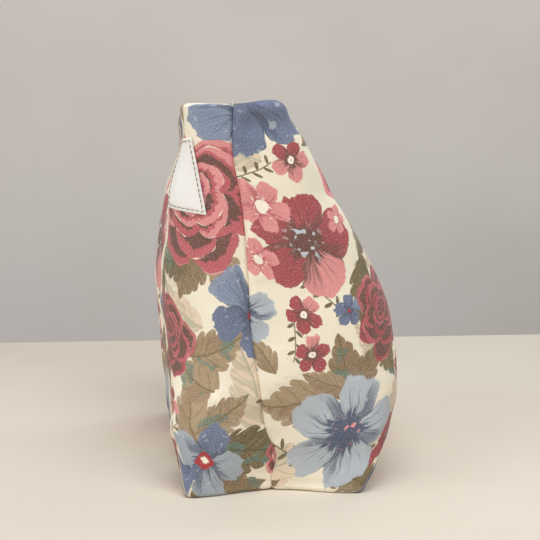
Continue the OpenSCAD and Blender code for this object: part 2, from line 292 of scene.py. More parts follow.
def base_row(side, edge, z, stretch, f):
    """Where each column of the base ends on the seam under the bag, mitred at the ends."""
    half = BASE_HALF_LENGTH - END_TUCK - BASE_FOLD
    depth = BASE_HALF_DEPTH - BASE_FOLD
    along = np.abs(edge[0, :, 1] - BASE_MIDDLE_Y) / depth
    mitre = half - depth * BASE_MITRE * np.minimum(along, 1)
    x = np.where(stretch == 2, (half - depth * BASE_MITRE) * (1 - 2 * f), np.sign(edge[0, :, 0]) * mitre)
    y = np.full(x.shape, BASE_MIDDLE_Y + side * BASE_SEAM_HALF_GAP)
    return np.stack([x, y, np.full(x.shape, z)], -1)[None]


def lerp_rows(a, b, count):
    """Rows between row a and row b, both left out."""
    return [mix(a, b, k / (count + 1)) for k in range(1, count + 1)]


def bag_half(side, inset=0.0, low=0.0, drop=0.0, detail=1.0):
    """Rows of points of half the bag, from the turned edge at the zip to the seam under the base."""
    def count(steps):
        return max(3, int(steps * detail))

    stretch, f = panel_columns(count(END_STEPS), count(CORNER_STEPS), 2 * count(HALF_FACE_STEPS))
    top = HEIGHT - drop
    turn = np.linspace(0, np.pi / 2, FOLD_ROWS)
    z_roof = HEIGHT - ROOF_FOLD * (1 - np.cos(turn))
    z_wall = np.linspace(HEIGHT - ROOF_FOLD, BASE_FOLD, count(WALL_ROWS))[1:-1]
    z_base = BASE_FOLD * (1 - np.sin(turn))
    z = np.concatenate([z_roof, z_wall, z_base])
    fold = np.concatenate([ROOF_FOLD * (1 - np.sin(turn)), 0 * z_wall, BASE_FOLD * (1 - np.cos(turn))])
    wall = wall_rows(side, mix(low, top, z / HEIGHT), fold, inset, stretch, f)
    hem = [slot_row(side, margin, top - below, stretch, f) for margin, below in TURNED_EDGE]
    roof = lerp_rows(hem[-1], wall[:1], count(ROOF_ROWS))
    last = base_row(side, wall[-1:], low, stretch, f)
    base = lerp_rows(wall[-1:], last, count(BASE_ROWS))
    return np.concatenate([*hem, *roof, wall, *base, last])


def grid_normals(points, side):
    across = np.gradient(points, axis=1)
    down = np.gradient(points, axis=0)
    return unit(np.cross(across, down) * -side)


def cloth_uv(points, side):
    """Millimetres of cloth right of the panel's middle, as seen from outside, and down from the zip."""
    centre = points.shape[1] // 2
    step = np.linalg.norm(np.diff(points, axis=1), axis=-1)
    along = np.concatenate([np.zeros((len(points), 1)), np.cumsum(step, axis=1)], axis=1)
    u = along - along[:, centre][:, None]
    fall = np.linalg.norm(np.diff(points, axis=0), axis=-1)
    v = np.concatenate([np.zeros((1, points.shape[1])), np.cumsum(fall, axis=0)], axis=0)
    shoulder = np.argmax(np.abs(points[:, centre, 1] - ZIP_Y) > ROOF_HALF_DEPTH - ROOF_FOLD)
    v = v - v[shoulder] + v[shoulder, centre]
    return u * side, v


def soft_waves(u, v, size, seed):
    """A smooth random field of waves about one size long, mostly from -1 to 1."""
    rng = np.random.default_rng(seed)
    total = np.zeros_like(u)
    for _ in range(WAVES):
        angle, phase = rng.uniform(0, np.pi), rng.uniform(0, 2 * np.pi)
        k = 2 * np.pi / (size * rng.uniform(*WAVE_SPREAD))
        total += np.sin(k * (u * np.cos(angle) + v * np.sin(angle)) + phase)
    return total / (WAVES / 2)


def seam_normals(points, side):
    """Outward directions, the same for both panels along the seam that joins them."""
    outward = grid_normals(points, side)
    for column in (0, -1):
        n = np.cross(np.gradient(points[:, column], axis=0), (0, 1, 0))
        outward[:, column] = unit(n * np.sign(np.sum(n * outward[:, column], axis=-1, keepdims=True)))
    return outward


def folds(u, v):
    total = np.zeros_like(u)
    for at_u, at_v, turn, length, width, height in FOLDS:
        angle = np.radians(turn)
        along = (v - at_v) * np.cos(angle) + (u - at_u) * np.sin(angle)
        across = (u - at_u) * np.cos(angle) - (v - at_v) * np.sin(angle)
        total += height * bump(across, FOLD_BEND * along ** 2 / width, width) * bump(along, 0, length)
    return total


def under_roof(z):
    return 1 - ramp(z, *ROOF_LINE)


def seam_relief(from_seam, z, side):
    """The cloth beside the side seams: in at the thread, and out over the back's seam allowance."""
    groove = mix(*GROOVE_DEPTHS, under_roof(z)) * bump(from_seam, 0, GROOVE_WIDTH)
    lift = -groove - DIP_DEPTH * bump(from_seam, 0, DIP_WIDTH)
    if side == BACK:
        height = mix(*ALLOWANCE_HEIGHTS, smooth(z / HEIGHT)) * under_roof(z)
        lift += height * bump(from_seam, ALLOWANCE_FROM_SEAM, ALLOWANCE_WIDTH)
    return lift


def front_relief(from_seam, z):
    """How far the front stands out from its plain shape, dents below zero."""
    return ramp(from_seam, *FRONT_RELIEF_RAMP) * relief(z, FRONT_RELIEF)


def back_relief(from_seam, z):
    """How far the back stands out: its dents, and a soft roll along its roof edge at the ends."""
    at_end = ramp(from_seam, *ROLL_BEGINS) * (1 - ramp(from_seam, *ROLL_ENDS))
    roll = at_end * under_roof(z) * relief(HEIGHT - z, ROOF_EDGE_RELIEF)
    return ramp(from_seam, *BACK_RELIEF_RAMP) * relief(z, BACK_RELIEF) + roll


def label_corner(points):
    """How far the front's upper corner under the label stands out from its plain shape."""
    x, y, z = points[..., 0], points[..., 1], points[..., 2]
    share = np.clip((seam_y(z) - y) / (seam_y(z) - front_face(z)), 0, 1)
    return LABEL_CORNER_OUT * ramp(z, *LABEL_CORNER_UP) * ramp(x, *LABEL_CORNER_ALONG) * share ** 2


def creases(u, v, from_seam, side):
    """Puckers along the seams, random creases and soft folds; the front is calmer under the label."""
    phase = 2 * np.pi * v / PUCKER_PITCH + PUCKER_DRIFT * np.sin(v / DRIFT_LENGTH)
    pucker = np.sin(phase) * np.exp(-from_seam / PUCKER_REACH)
    calm = 1 - CALM_SHARE * bump(u, *CALM_U) * bump(v, *CALM_V) * (side == FRONT)
    crease = sum(height * soft_waves(u, v, size, seed + side) for size, height, seed in CREASES)
    return PUCKER_HEIGHT * pucker + calm * (crease + FOLD_SHARE * folds(u, v))


def roof_relief(points, z, side):
    """How far the roof stands up: it sags along its middle, and at the ends it dips in line with the zip."""
    x, off_zip = points[..., 0], np.abs(points[..., 1] - ZIP_Y)
    from_slot = np.maximum(off_zip - SLOT_HALF_WIDTH, np.abs(x) - SLOT_HALF_LENGTH)
    sag = SAG_DEPTH * smooth((SAG_HALF_LENGTH - np.abs(x)) / SAG_FADE)
    sag = sag * (1 + SAG_WAVE * np.sin(x / SAG_WAVE_LENGTH + 2 * side))
    step = sum(height * ramp(off_zip, start, length) for height, start, length in END_RISES[side])
    on_roof = ramp(z, *ROOF_EDGE) * ramp(from_slot, *SLOT_EDGE)
    return on_roof * (ramp(np.abs(x), *ROOF_END) * (step - END_DIP) - sag)


def panel_points(side):
    """One outer panel with its seams, puckers and creases in millimetres, and its places on the cloth."""
    points = bag_half(side)
    u, v = cloth_uv(points, side)
    z = points[..., 2]
    from_seam = np.minimum(np.abs(u - u[:, :1]), np.abs(u - u[:, -1:]))
    off_seam = 1 - np.exp(-from_seam / SEAM_HOLD)
    on_wall = ramp(HEIGHT - z, *CREASES_DOWN) * ramp(z, *CREASES_UP)
    lift = seam_relief(from_seam, z, side)
    lift += front_relief(from_seam, z) if side == FRONT else back_relief(from_seam, z)
    lift += off_seam * on_wall * creases(u, v, from_seam, side)
    lift = np.maximum(lift, DEEPEST_DENT)
    foot = FOOT_CREASE_DEPTH * bump(z, FOOT_CREASE_Z, FOOT_CREASE_WIDTH)
    lift -= off_seam * (1 - ramp(from_seam, *FOOT_CREASE_ENDS)) * foot
    points = points + seam_normals(points, side) * lift[..., None]
    if side == FRONT:
        points[..., 1] -= label_corner(points)
    points[..., 2] = np.maximum(points[..., 2] + roof_relief(points, z, side), 0)
    return points, u, v


# Meshes

def new_object(name, mesh):
    obj = bpy.data.objects.new(name, mesh)
    bpy.context.scene.collection.objects.link(obj)
    return obj


def smooth_faces(mesh):
    """Smooth shading on every face."""
    mesh.polygons.foreach_set("use_smooth", np.ones(len(mesh.polygons), bool))


def grid_mesh(name, points, thickness, outward):
    """A closed sheet over a grid of points in millimetres, its inner wall a little behind it."""
    rows, cols = points.shape[:2]
    inner = points - outward * thickness
    inner[..., 2] = np.maximum(inner[..., 2], points[..., 2].min() + INNER_WALL_RISE)
    verts = np.concatenate([points.reshape(-1, 3), inner.reshape(-1, 3)]) * MM
    n = rows * cols
    i, j = np.meshgrid(np.arange(rows - 1), np.arange(cols - 1), indexing="ij")
    a = (i * cols + j).ravel()
    outer = np.stack([a, a + cols, a + cols + 1, a + 1], -1)
    faces = [outer, outer[:, ::-1] + n]
    top, low = np.arange(cols), (rows - 1) * cols + np.arange(cols)
    left, right = np.arange(rows) * cols, np.arange(rows) * cols + cols - 1
    for edge, flip in ((top, False), (low, True), (left, True), (right, False)):
        strip = np.stack([edge[:-1], edge[1:], edge[1:] + n, edge[:-1] + n], -1)
        faces.append(strip[:, ::-1] if flip else strip)
    mesh = bpy.data.meshes.new(name)
    mesh.from_pydata(verts.tolist(), [], np.concatenate(faces).tolist())
    mesh.validate()
    bm = bmesh.new()
    bm.from_mesh(mesh)
    bmesh.ops.recalc_face_normals(bm, faces=bm.faces)
    bm.to_mesh(mesh)
    bm.free()
    smooth_faces(mesh)
    return mesh


def corner_values(mesh, grid_values):
    """Values of a grid at each face corner of its sheet, where the inner wall repeats the outer one."""
    loops = np.zeros(len(mesh.loops), np.int32)
    mesh.loops.foreach_get("vertex_index", loops)
    flat = grid_values.ravel()
    return flat[loops % len(flat)]


def add_cloth_map(mesh, u, v):
    """The piece's own map: cloth millimetres over MAP_SIZE."""
    layer = mesh.uv_layers.new(name="cloth")
    uv = np.stack([corner_values(mesh, u), corner_values(mesh, v)], -1) / MAP_SIZE + 0.5
    layer.data.foreach_set("uv", uv.astype(np.float32).ravel())


# Node helpers

def term_first(operation):
    return lambda term, other: maths(operation, term, other)


def term_second(operation):
    return lambda term, other: maths(operation, other, term)


class Term:
    """A value in a node tree; arithmetic on it adds Math nodes."""

    def __init__(self, tree, socket):
        self.tree = tree
        self.socket = socket

    def __abs__(self):
        return maths("ABSOLUTE", self)

    __add__, __radd__ = term_first("ADD"), term_second("ADD")
    __sub__, __rsub__ = term_first("SUBTRACT"), term_second("SUBTRACT")
    __mul__, __rmul__ = term_first("MULTIPLY"), term_second("MULTIPLY")
    __truediv__, __rtruediv__ = term_first("DIVIDE"), term_second("DIVIDE")
    __pow__, __rpow__ = term_first("POWER"), term_second("POWER")


def feed(tree, socket, value):
    if isinstance(value, Term):
        tree.links.new(value.socket, socket)
    else:
        socket.default_value = value


def put(tree, kind, fed=None, output=0, **settings):
    """Adds a node, feeds its inputs by name or place, and gives one of its outputs."""
    item = tree.nodes.new(kind)
    for name, value in settings.items():
        setattr(item, name, value)
    for key, value in (fed or {}).items():
        feed(tree, item.inputs[key], value)
    return Term(tree, item.outputs[output])


def tree_of(*values):
    return next(v.tree for v in values if isinstance(v, Term))


def maths(operation, *values):
    return put(tree_of(*values), "ShaderNodeMath", dict(enumerate(values)), operation=operation)


def sine(value):
    return maths("SINE", value)


def fraction(value):
    return maths("FRACT", value)


def band(value, low, high):
    """0 before low, 1 after high, smooth between; falls instead where low is the larger."""
    fed = {0: value, 1: low, 2: high}
    return put(value.tree, "ShaderNodeMapRange", fed, interpolation_type="SMOOTHSTEP")


def blend(factor, a, b):
    return put(factor.tree, "ShaderNodeMix", {0: factor, 6: a, 7: b}, output=2, data_type="RGBA")


def vector(x, y, z):
    return put(tree_of(x, y, z), "ShaderNodeCombineXYZ", {0: x, 1: y, 2: z})


def parts(value):
    split = put(value.tree, "ShaderNodeSeparateXYZ", {0: value}).socket.node
    return [Term(value.tree, out) for out in split.outputs]


def noise(place, scale, detail=2.0, output=0):
    fed = {"Vector": place, "Scale": scale, "Detail": detail}
    return put(place.tree, "ShaderNodeTexNoise", fed, output)


def chance(value):
    return put(value.tree, "ShaderNodeTexWhiteNoise", {"W": value}, "Value", noise_dimensions="1D")


def socket_type(value):
    if isinstance(value, (int, float)):
        return "NodeSocketFloat"
    return "NodeSocketColor" if len(value) == 4 else "NodeSocketVector"


def new_group(name, inputs, outputs):
    """An empty shader group with named inputs at these values, and the terms of its inputs."""
    tree = bpy.data.node_groups.new(name, "ShaderNodeTree")
    for label, value in inputs.items():
        socket = tree.interface.new_socket(label, in_out="INPUT", socket_type=socket_type(value))
        socket.default_value = value
    for label, value in outputs.items():
        tree.interface.new_socket(label, in_out="OUTPUT", socket_type=socket_type(value))
    start = tree.nodes.new("NodeGroupInput")
    return tree, {label: Term(tree, start.outputs[label]) for label in inputs}


def close_group(tree, results):
    end = tree.nodes.new("NodeGroupOutput")
    for label, value in results.items():
        feed(tree, end.inputs[label], value)
    return tree


def use_group(tree, group, fed):
    item = tree.nodes.new("ShaderNodeGroup")
    item.node_tree = group
    for label, value in fed.items():
        feed(tree, item.inputs[label], value)
    return {out.name: Term(tree, out) for out in item.outputs}


def srgb(red, green, blue):
    """A colour as seen on screen, 0 to 255, as linear light."""
    light = [((c / 255 + 0.055) / 1.055) ** 2.4 if c > 10 else c / 3295 for c in (red, green, blue)]
    return (*light, 1.0)


# Inks of the print
CREAM = srgb(247, 237, 216)
CREAM_DEEP = srgb(243, 230, 206)
PEACH = srgb(234, 210, 184)
SAGE = srgb(190, 182, 156)
TAN = srgb(176, 151, 120)
TAN_LIGHT = srgb(198, 174, 141)
OLIVE = srgb(128, 111, 78)
OLIVE_DARK = srgb(100, 88, 62)
BROWN = srgb(152, 123, 95)
TEAL = srgb(104, 134, 120)
PINK = srgb(230, 150, 149)
PINK_LIGHT = srgb(241, 188, 180)
ROSE_RED = srgb(194, 98, 105)
CRIMSON = srgb(174, 80, 87)
MAROON = srgb(116, 79, 72)
SLATE = srgb(112, 122, 148)
SLATE_LIGHT = srgb(137, 149, 172)
SLATE_DEEP = srgb(86, 93, 114)
MIST = srgb(172, 178, 186)
MIST_MID = srgb(184, 189, 195)
MIST_LIGHT = srgb(200, 205, 209)
HEART_RED = srgb(178, 58, 62)
EYE_CREAM = srgb(252, 240, 222)
BLACK = (0.0, 0.0, 0.0, 1.0)
TURN = 2 * math.pi
# A place outside every motif: across, along and seed
FAR = (9.0, 9.0, 0.0)


def motif_group(name, inks, values):
    """A group for one kind of motif: its place, values and inks go in, and its mask and colour come out."""
    inputs = {"Place": FAR, **values, **dict.fromkeys(inks, BLACK)}
    return new_group(name, inputs, {"Mask": 0.0, "Colour": BLACK})


def drawn_by_hand(place, scale, amount):
    """Place across and along a motif, pushed about so that its lines are uneven, and its seed."""
    x, y, seed = parts(place)
    wobble = parts(noise(vector(x, y, seed), scale, 1, "Color"))
    return x + (wobble[0] - 0.5) * amount, y + (wobble[1] - 0.5) * amount, seed


def polar(x, y):
    """Distance, angle and direction from a motif's middle."""
    r = maths("SQRT", x * x + y * y)
    safe = maths("MAXIMUM", r, 0.001)
    return r, maths("ARCTAN2", y, x), x / safe, y / safe


def petal_of(angle, count, phase, seed):
    """Place across a petal, from -1 to 1, and a random share for each petal of a ring."""
    turn = angle * (count / TURN) + phase
    number = maths("FLOORED_MODULO", maths("FLOOR", turn), count)
    return fraction(turn) * 2 - 1, chance(number * 1.7 + seed * 13.1)


def bloom_group():
    """An open flower: streaked petals with a dark base and a pale rim, a heart, an eye and stamens."""
    values = {"Petals": 5.0, "Notch": 0.4, "Roundness": 3.0, "Ruffle": 0.2, "Reach": 0.4, "Pale share": 0.3,
              "Rim place": 0.95, "Heart size": 0.16, "Eye size": 0.4, "Stamens": 0.0, "Fleck": 0.3}
    tree, given = motif_group("Printed bloom", ("Body", "Pale", "Base", "Rim", "Heart", "Eye"), values)
    x, y, seed = drawn_by_hand(given["Place"], 2.6, 0.2)
    r, angle, along_x, along_y = polar(x, y)
    across, luck = petal_of(angle, given["Petals"], seed * 3.7, seed)
    frill = noise(vector(along_x * 2.4, along_y * 2.4, seed * 2.3), 2, 4)
    streak = noise(vector(along_x * 9, along_y * 9, r * 0.9 + seed), 1, 3)
    vein = noise(vector(along_x * 24, along_y * 24, r * 0.8 + seed), 1, 1)
    reach = (1 - given["Notch"] * abs(across) ** given["Roundness"]) * (luck * 0.22 + 0.84)
    reach = reach + given["Ruffle"] * (frill - 0.5)
    mask = band(reach - r, 0, 0.025)
    place = r / maths("MAXIMUM", reach, 0.05)
    tone = place + (streak - 0.5) * 0.75
    pale_from = 1 - given["Pale share"]
    body = blend(band(luck, pale_from, pale_from + 0.01), given["Body"], given["Pale"])
    shaded = band((streak - 0.5) * 1.3 - across, 0.42, 0.62) * band(place, 1.02, 0.6)
    colour = blend(shaded * 0.7, body, given["Base"])
    lines = band(vein, 0.56, 0.62) * band(place, 0.9, 0.45)
    colour = blend(lines * 0.75, colour, given["Base"])
    colour = blend(band(tone, given["Reach"] + 0.06, given["Reach"] - 0.06), colour, given["Base"])
    colour = blend(band(abs(across) + (streak - 0.5) * 0.2, 0.9, 0.97) * 0.8, colour, given["Base"])
    colour = blend(band(tone, given["Rim place"], given["Rim place"] + 0.08), colour, given["Rim"])
    fleck = band(noise(vector(x, y, seed), 7, 2), 0.62, 0.68) * band(place, 0.2, 0.45)
    colour = blend(fleck * given["Fleck"], colour, given["Rim"])
    heart = given["Heart size"]
    ring = r + (streak - 0.5) * 0.12
    colour = blend(band(ring, heart + 0.03, heart), colour, given["Heart"])
    dots = band(noise(vector(x * 9, y * 9, seed), 1, 0), 0.61, 0.66) * band(r, heart * 2 + 0.2, heart + 0.05)
    colour = blend(dots * given["Stamens"], colour, given["Eye"])
    eye = r * (noise(vector(along_x * 2, along_y * 2, seed), 1, 2) * 1.6 + 0.2)
    eye_size = heart * given["Eye size"]
    colour = blend(band(eye, eye_size + 0.001, eye_size * 0.7), colour, given["Eye"])
    return close_group(tree, {"Mask": mask, "Colour": colour})


# Rings of a full rose: reach, petals, phase, and its middle across and along
ROSE_RINGS = ((1.0, 6.0, 0.0, 0.0, 0.0), (0.8, 5.0, 0.6, 0.03, 0.05), (0.61, 5.0, 0.25, -0.03, 0.1),
              (0.43, 4.0, 0.5, 0.03, 0.13), (0.27, 3.0, 0.1, 0.0, 0.15), (0.12, 2.0, 0.4, 0.02, 0.16))


def rose_group():
    """A full rose: rings of lobed petals over each other, each light at its rim and dark under the next."""
    tree, given = motif_group("Printed rose", ("Light", "Middle", "Deep", "Shadow", "Rim"), {})
    x, y, seed = drawn_by_hand(given["Place"], 2.2, 0.22)
    mask, colour = None, given["Shadow"]
    for k, (size, petals, phase, off_x, off_y) in enumerate(ROSE_RINGS):
        r, angle, along_x, along_y = polar(x - off_x, y - off_y)
        across, luck = petal_of(angle, petals, seed * (k + 1) * 0.618 + phase, seed + k * 3.3)
        frill = noise(vector(along_x * 2.2, along_y * 2.2, seed * 1.9 + k * 5), 1.7, 4)
        streak = noise(vector(along_x * 8, along_y * 8, r * 2 + seed + k * 7), 1, 3)
        reach = size * (1 - 0.26 * abs(across) ** 2.5) * (luck * 0.18 + 0.9) + 0.16 * size * (frill - 0.5)
        edge = band(reach - r, 0, 0.02)
        inner = ROSE_RINGS[k + 1][0] / size if k + 1 < len(ROSE_RINGS) else 0.2
        place = (r / maths("MAXIMUM", reach, 0.02) - inner) * (1 / (1 - inner))
        tone = place + (streak - 0.5) * 0.9
        light = blend(band(luck, 0.25, 0.7), given["Middle"], given["Light"])
        petal = blend(band(tone, 0.34, 0.5), given["Deep"], light)
        petal = blend(band(tone + luck * 0.12, 0.26, 0.16), petal, given["Shadow"])
        split = band(abs(across) + (streak - 0.5) * 0.3, 0.84, 0.95) * band(place, 0.9, 0.5)
        petal = blend(split, petal, given["Deep"])
        rim = band(place + (frill - 0.5) * 0.9, 0.92, 0.98) * band(luck, 0.1, 0.3)
        petal = blend(rim, petal, given["Rim"])
        colour = blend(edge, colour, petal)
        mask = edge if mask is None else maths("MAXIMUM", mask, edge)
    return close_group(tree, {"Mask": mask, "Colour": colour})


def leaf_group():
    """A toothed leaf from its stalk at -1 to its tip at 1, with ribs, a dark side and brush strokes."""
    values = {"Touch share": 0.3, "Stroke": 1.0}
    tree, given = motif_group("Printed leaf", ("Body", "Dark", "Light", "Touch", "Rib"), values)
    x, y, seed = parts(given["Place"])
    wobble = parts(noise(vector(x, y, seed), 2.2, 1, "Color"))
    luck = chance(seed * 5.3)
    x = x + (wobble[0] - 0.5) * 0.2 + (luck - 0.5) * 0.5 * (1 - y * y)
    share = maths("MAXIMUM", (y + 1) * 0.5, 0.0)
    slant = share - abs(x) * 0.42
    lobe = fraction(slant * 4.6 + luck)
    wide = sine(share ** 0.78 * math.pi) * (0.68 - share * 0.16) * (0.8 + lobe * (1.25 - lobe) * 0.75)
    mask = band(wide - abs(x), 0.0, 0.03)
    stroke = noise(vector(slant * 13, abs(x) * 2.2, seed + band(x, -0.01, 0.01)), 1, 3)
    dark = band(stroke + band(x, 0.02, -0.02) * 0.16 - share * 0.1, 0.52, 0.58)
    colour = blend(dark * given["Stroke"], given["Body"], given["Dark"])
    light = band(noise(vector(slant * 30, abs(x) * 3, seed + 4), 1, 2), 0.6, 0.66)
    colour = blend(light * 0.7 * given["Stroke"], colour, given["Light"])
    touched = band(chance(seed + 2.2), 0.62, 0.6)
    touch = band(noise(vector(x, y, seed + 8), 1.7, 2) - abs(x) * 0.3, 0.5, 0.56) * touched
    colour = blend(touch * given["Touch share"], colour, given["Touch"])
    side_rib = band(abs(lobe - 0.5), 0.06, 0.02) * band(wide - abs(x), 0.05, 0.2)
    rib = maths("MAXIMUM", band(abs(x), 0.035, 0.012), side_rib * 0.8)
    colour = blend(rib, colour, given["Rib"])
    return close_group(tree, {"Mask": mask, "Colour": colour})


def sprig_group():
    """A bent stem with small leaves or berries on both sides in turn."""
    tree, given = motif_group("Printed sprig", ("Leaf", "Dark", "Stem"), {})
    x, y, seed = parts(given["Place"])
    luck = chance(seed * 7.7)
    x = x - sine(y * 1.6 + luck * 6) * 0.16
    run = (y + 1) * 3.5
    number = maths("FLOOR", run)
    side = maths("FLOORED_MODULO", number, 2.0) * 2 - 1
    out = x * side - 0.17
    along = (fraction(run) - 0.5) * 0.29
    length = out * 0.78 + along * 0.62
    across = along * 0.78 - out * 0.62
    shape = (length / 0.19) * (length / 0.19) + (across / 0.075) * (across / 0.075)
    inside = band(abs(y), 1.0, 0.98)
    leaf = band(shape, 1.0, 0.86) * inside
    stalk = band(abs(x), 0.032, 0.016) * inside * band(y, 0.98, 0.9)
    split = blend(band(across, -0.008, 0.008), given["Leaf"], given["Dark"])
    colour = blend(leaf, given["Stem"], split)
    return close_group(tree, {"Mask": maths("MAXIMUM", leaf, stalk), "Colour": colour})


def weave_group():
    """Plain weave: height of the crossing threads and a faint speck, from a place in millimetres."""
    tree, given = new_group("Plain weave", {"Place": (0, 0, 0), "Pitch": 0.6}, {"Height": 0.0, "Speck": 0.0})
    x, y, _ = parts(given["Place"])
    slub = noise(vector(x * 0.12, y * 1.6, 0.0), 1, 2) + noise(vector(x * 1.6, y * 0.12, 3.0), 1, 2)
    warp = sine(x * TURN / given["Pitch"])
    weft = sine(y * TURN / given["Pitch"])
    height = warp * weft * 0.35 + slub * 0.5
    speck = noise(vector(x, y, 1.0), 2.2, 2)
    return close_group(tree, {"Height": height, "Speck": speck * 0.6 + slub * 0.2})


# The print's repeat across and down the cloth, its columns and rows that cover a panel, and the lengths of
# cloth between which motifs lie
REPEAT = (165.0, 240.0)
REPEAT_COLUMNS, REPEAT_ROWS = range(-2, 2), range(-2, 3)
FIRST_V, LAST_V = -40, 310

# Share of a motif's reach within which a face can belong to it
MOTIF_ROOM = 1.5

# Motifs by layer: u and v of the middle, reach, turn in degrees, share of width, seed
MOTIFS = {
    "ghost": [(131, 160, 26, 20, 0.9, 1), (150, 185, 20, -30, 0.8, 2), (20, 205, 22, -60, 0.9, 3),
              (90, 120, 18, 60, 0.8, 4), (60, 148, 16, 30, 0.7, 5), (152, 60, 20, 10, 0.8, 6),
              (152, 100, 18, 150, 0.8, 7), (75, 180, 18, -20, 0.8, 8), (20, 38, 16, 60, 0.9, 9),
              (80, 225, 20, 80, 0.8, 10)],
    "leaf_a": [(101, 101, 19, 150, 1.0, 1), (113, 139, 17, -70, 1.1, 2), (104, 170, 19, 10, 0.9, 3),
               (137, 196, 21, -95, 1.0, 4), (44, 156, 20, 5, 0.9, 5), (14, 166, 18, 95, 1.1, 3),
               (56, 210, 17, 215, 1.0, 7), (66, 124, 18, 150, 0.8, 8), (66, 20, 17, -50, 0.9, 9),
               (92, 18, 15, 60, 0.9, 10), (150, 130, 15, 40, 0.9, 11), (150, 25, 17, 20, 1.0, 12),
               (100, 226, 18, 120, 1.0, 13), (8, 225, 18, -40, 1.0, 14), (158, 212, 14, 20, 0.9, 15)],
    "leaf_b": [(119, 104, 15, 215, 0.9, 21), (102, 154, 15, 60, 1.1, 22), (118, 172, 16, -48, 0.8, 23),
               (128, 214, 17, -80, 1.0, 24), (57, 158, 14, -55, 0.8, 25), (32, 160, 13, 60, 0.8, 26),
               (84, 104, 16, 110, 1.0, 27), (72, 160, 15, 190, 0.9, 28), (70, 40, 14, 100, 0.9, 29),
               (52, 20, 13, 30, 0.8, 30), (34, 228, 15, 90, 1.0, 31), (74, 214, 14, 60, 0.9, 32),
               (158, 145, 12, -60, 0.8, 33), (2, 142, 12, 30, 0.8, 34)],
    "sprig": [(28, 50, 11, -60, 1.2, 1), (40, 117, 13, 50, 1.1, 2), (20, 136, 12, 160, 1.0, 3),
              (66, 150, 12, 20, 1.0, 4), (20, 196, 14, 75, 1.2, 5), (92, 190, 12, -20, 1.0, 6),
              (150, 80, 13, 10, 1.0, 7), (145, 172, 12, 40, 1.0, 8), (4, 60, 12, 20, 1.0, 9),
              (150, 225, 12, 70, 1.0, 10)],
    "blue": [(137, 20, 28, 0, 1.0, 1), (36, 12, 36, 20, 1.0, 2), (132, 121, 25, 30, 1.0, 3),
             (-4, 121, 18, 10, 1.0, 12), (51, 128, 9, 30, 1.0, 4), (44, 188, 31, 15, 1.0, 11),
             (110, 200, 21, 40, 1.0, 13), (66, 236, 16, 10, 1.0, 5)],
    "red": [(40, 88, 29, 10, 1.0, 1), (73, 206, 15, 40, 1.0, 2), (146, 106, 13, 0, 1.0, 3),
            (128, 234, 15, 20, 1.0, 4), (12, 230, 13, 0, 1.0, 5)],
    "rose": [(105, 67, 38, 0, 1.0, 1), (76, 140, 24, 20, 1.0, 6), (150, 44, 15, 40, 1.0, 2),
             (100, 238, 17, 10, 1.0, 7), (155, 198, 13, 0, 1.0, 3)],
    "posy": [(48, 47, 11, 0, 1.0, 1), (26, 68, 16, 30, 0.9, 6), (13, 94, 12, 10, 0.8, 8),
             (27, 124, 12, 30, 0.85, 2), (28, 145, 11, -20, 0.9, 3), (84, 174, 9, 20, 1.0, 4),
             (146, 152, 10, 50, 0.9, 5), (64, 84, 8, 10, 1.0, 7), (14, 16, 10, 40, 1.0, 2),
             (82, 12, 9, 0, 1.0, 3)],
}


def repeats(layer, side):
    """The layer's motifs over a whole panel, a row each; every second column is dropped by half a repeat."""
    found = []
    for column in REPEAT_COLUMNS:
        dropped = (column % 2 == 1) == (side == FRONT)
        for row in REPEAT_ROWS:
            for u, v, *rest in MOTIFS[layer]:
                at_v = v + REPEAT[1] * (row + (0.5 if dropped else 0))
                if FIRST_V < at_v < LAST_V:
                    found.append((u + REPEAT[0] * column, at_v, *rest))
    return np.array(found)


def place_in_motif(motif, u, v):
    """Place across and along one motif, or each point's own motif, in shares of its reach."""
    middle_u, middle_v, reach, turn, width, _ = motif.T
    cos, sin = np.cos(np.radians(turn)), np.sin(np.radians(turn))
    du, dv = u - middle_u, middle_v - v
    return (du * cos + dv * sin) / (reach * width), (dv * cos - du * sin) / reach


def add_motif_places(mesh, u, v, side):
    """For each layer, each face's nearest motif: place in the motif and its seed at every corner."""
    corner_u, corner_v = corner_values(mesh, u), corner_values(mesh, v)
    starts = np.zeros(len(mesh.polygons), np.int32)
    totals = np.zeros(len(mesh.polygons), np.int32)
    mesh.polygons.foreach_get("loop_start", starts)
    mesh.polygons.foreach_get("loop_total", totals)
    face_of = np.repeat(np.arange(len(starts)), totals)
    mid_u = np.add.reduceat(corner_u, starts) / totals
    mid_v = np.add.reduceat(corner_v, starts) / totals
    for layer in MOTIFS:
        motifs = repeats(layer, side)
        nearest = np.full(len(starts), MOTIF_ROOM)
        chosen = np.full(len(starts), -1)
        for k, motif in enumerate(motifs):
            away = np.hypot(*place_in_motif(motif, mid_u, mid_v))
            nearer = away < nearest
            nearest[nearer] = away[nearer]
            chosen[nearer] = k
        pick = chosen[face_of]
        own = motifs[np.maximum(pick, 0)]
        place = np.stack([*place_in_motif(own, corner_u, corner_v), own[:, 5]], -1)
        place[pick < 0] = FAR
        attribute = mesh.attributes.new("print_" + layer, "FLOAT_VECTOR", "CORNER")
        attribute.data.foreach_set("vector", place.astype(np.float32).ravel())


# Materials

BLOOM, ROSE, LEAF, SPRIG, WEAVE = bloom_group(), rose_group(), leaf_group(), sprig_group(), weave_group()


def new_material(name, **constants):
    """A material with its shader; constant values go straight on the shader's sockets."""
    material = bpy.data.materials.new(name)
    material.use_nodes = True
    shader = material.node_tree.nodes["Principled BSDF"]
    for label, value in constants.items():
        shader.inputs[label.replace("_", " ")].default_value = value
    return material, material.node_tree, shader


def cloth_place(tree):
    """The piece's own map in millimetres of cloth."""
    place = put(tree, "ShaderNodeUVMap", uv_map="cloth")
    x, y, _ = parts(place)
    return vector(x * MAP_SIZE, y * MAP_SIZE, 0.0)


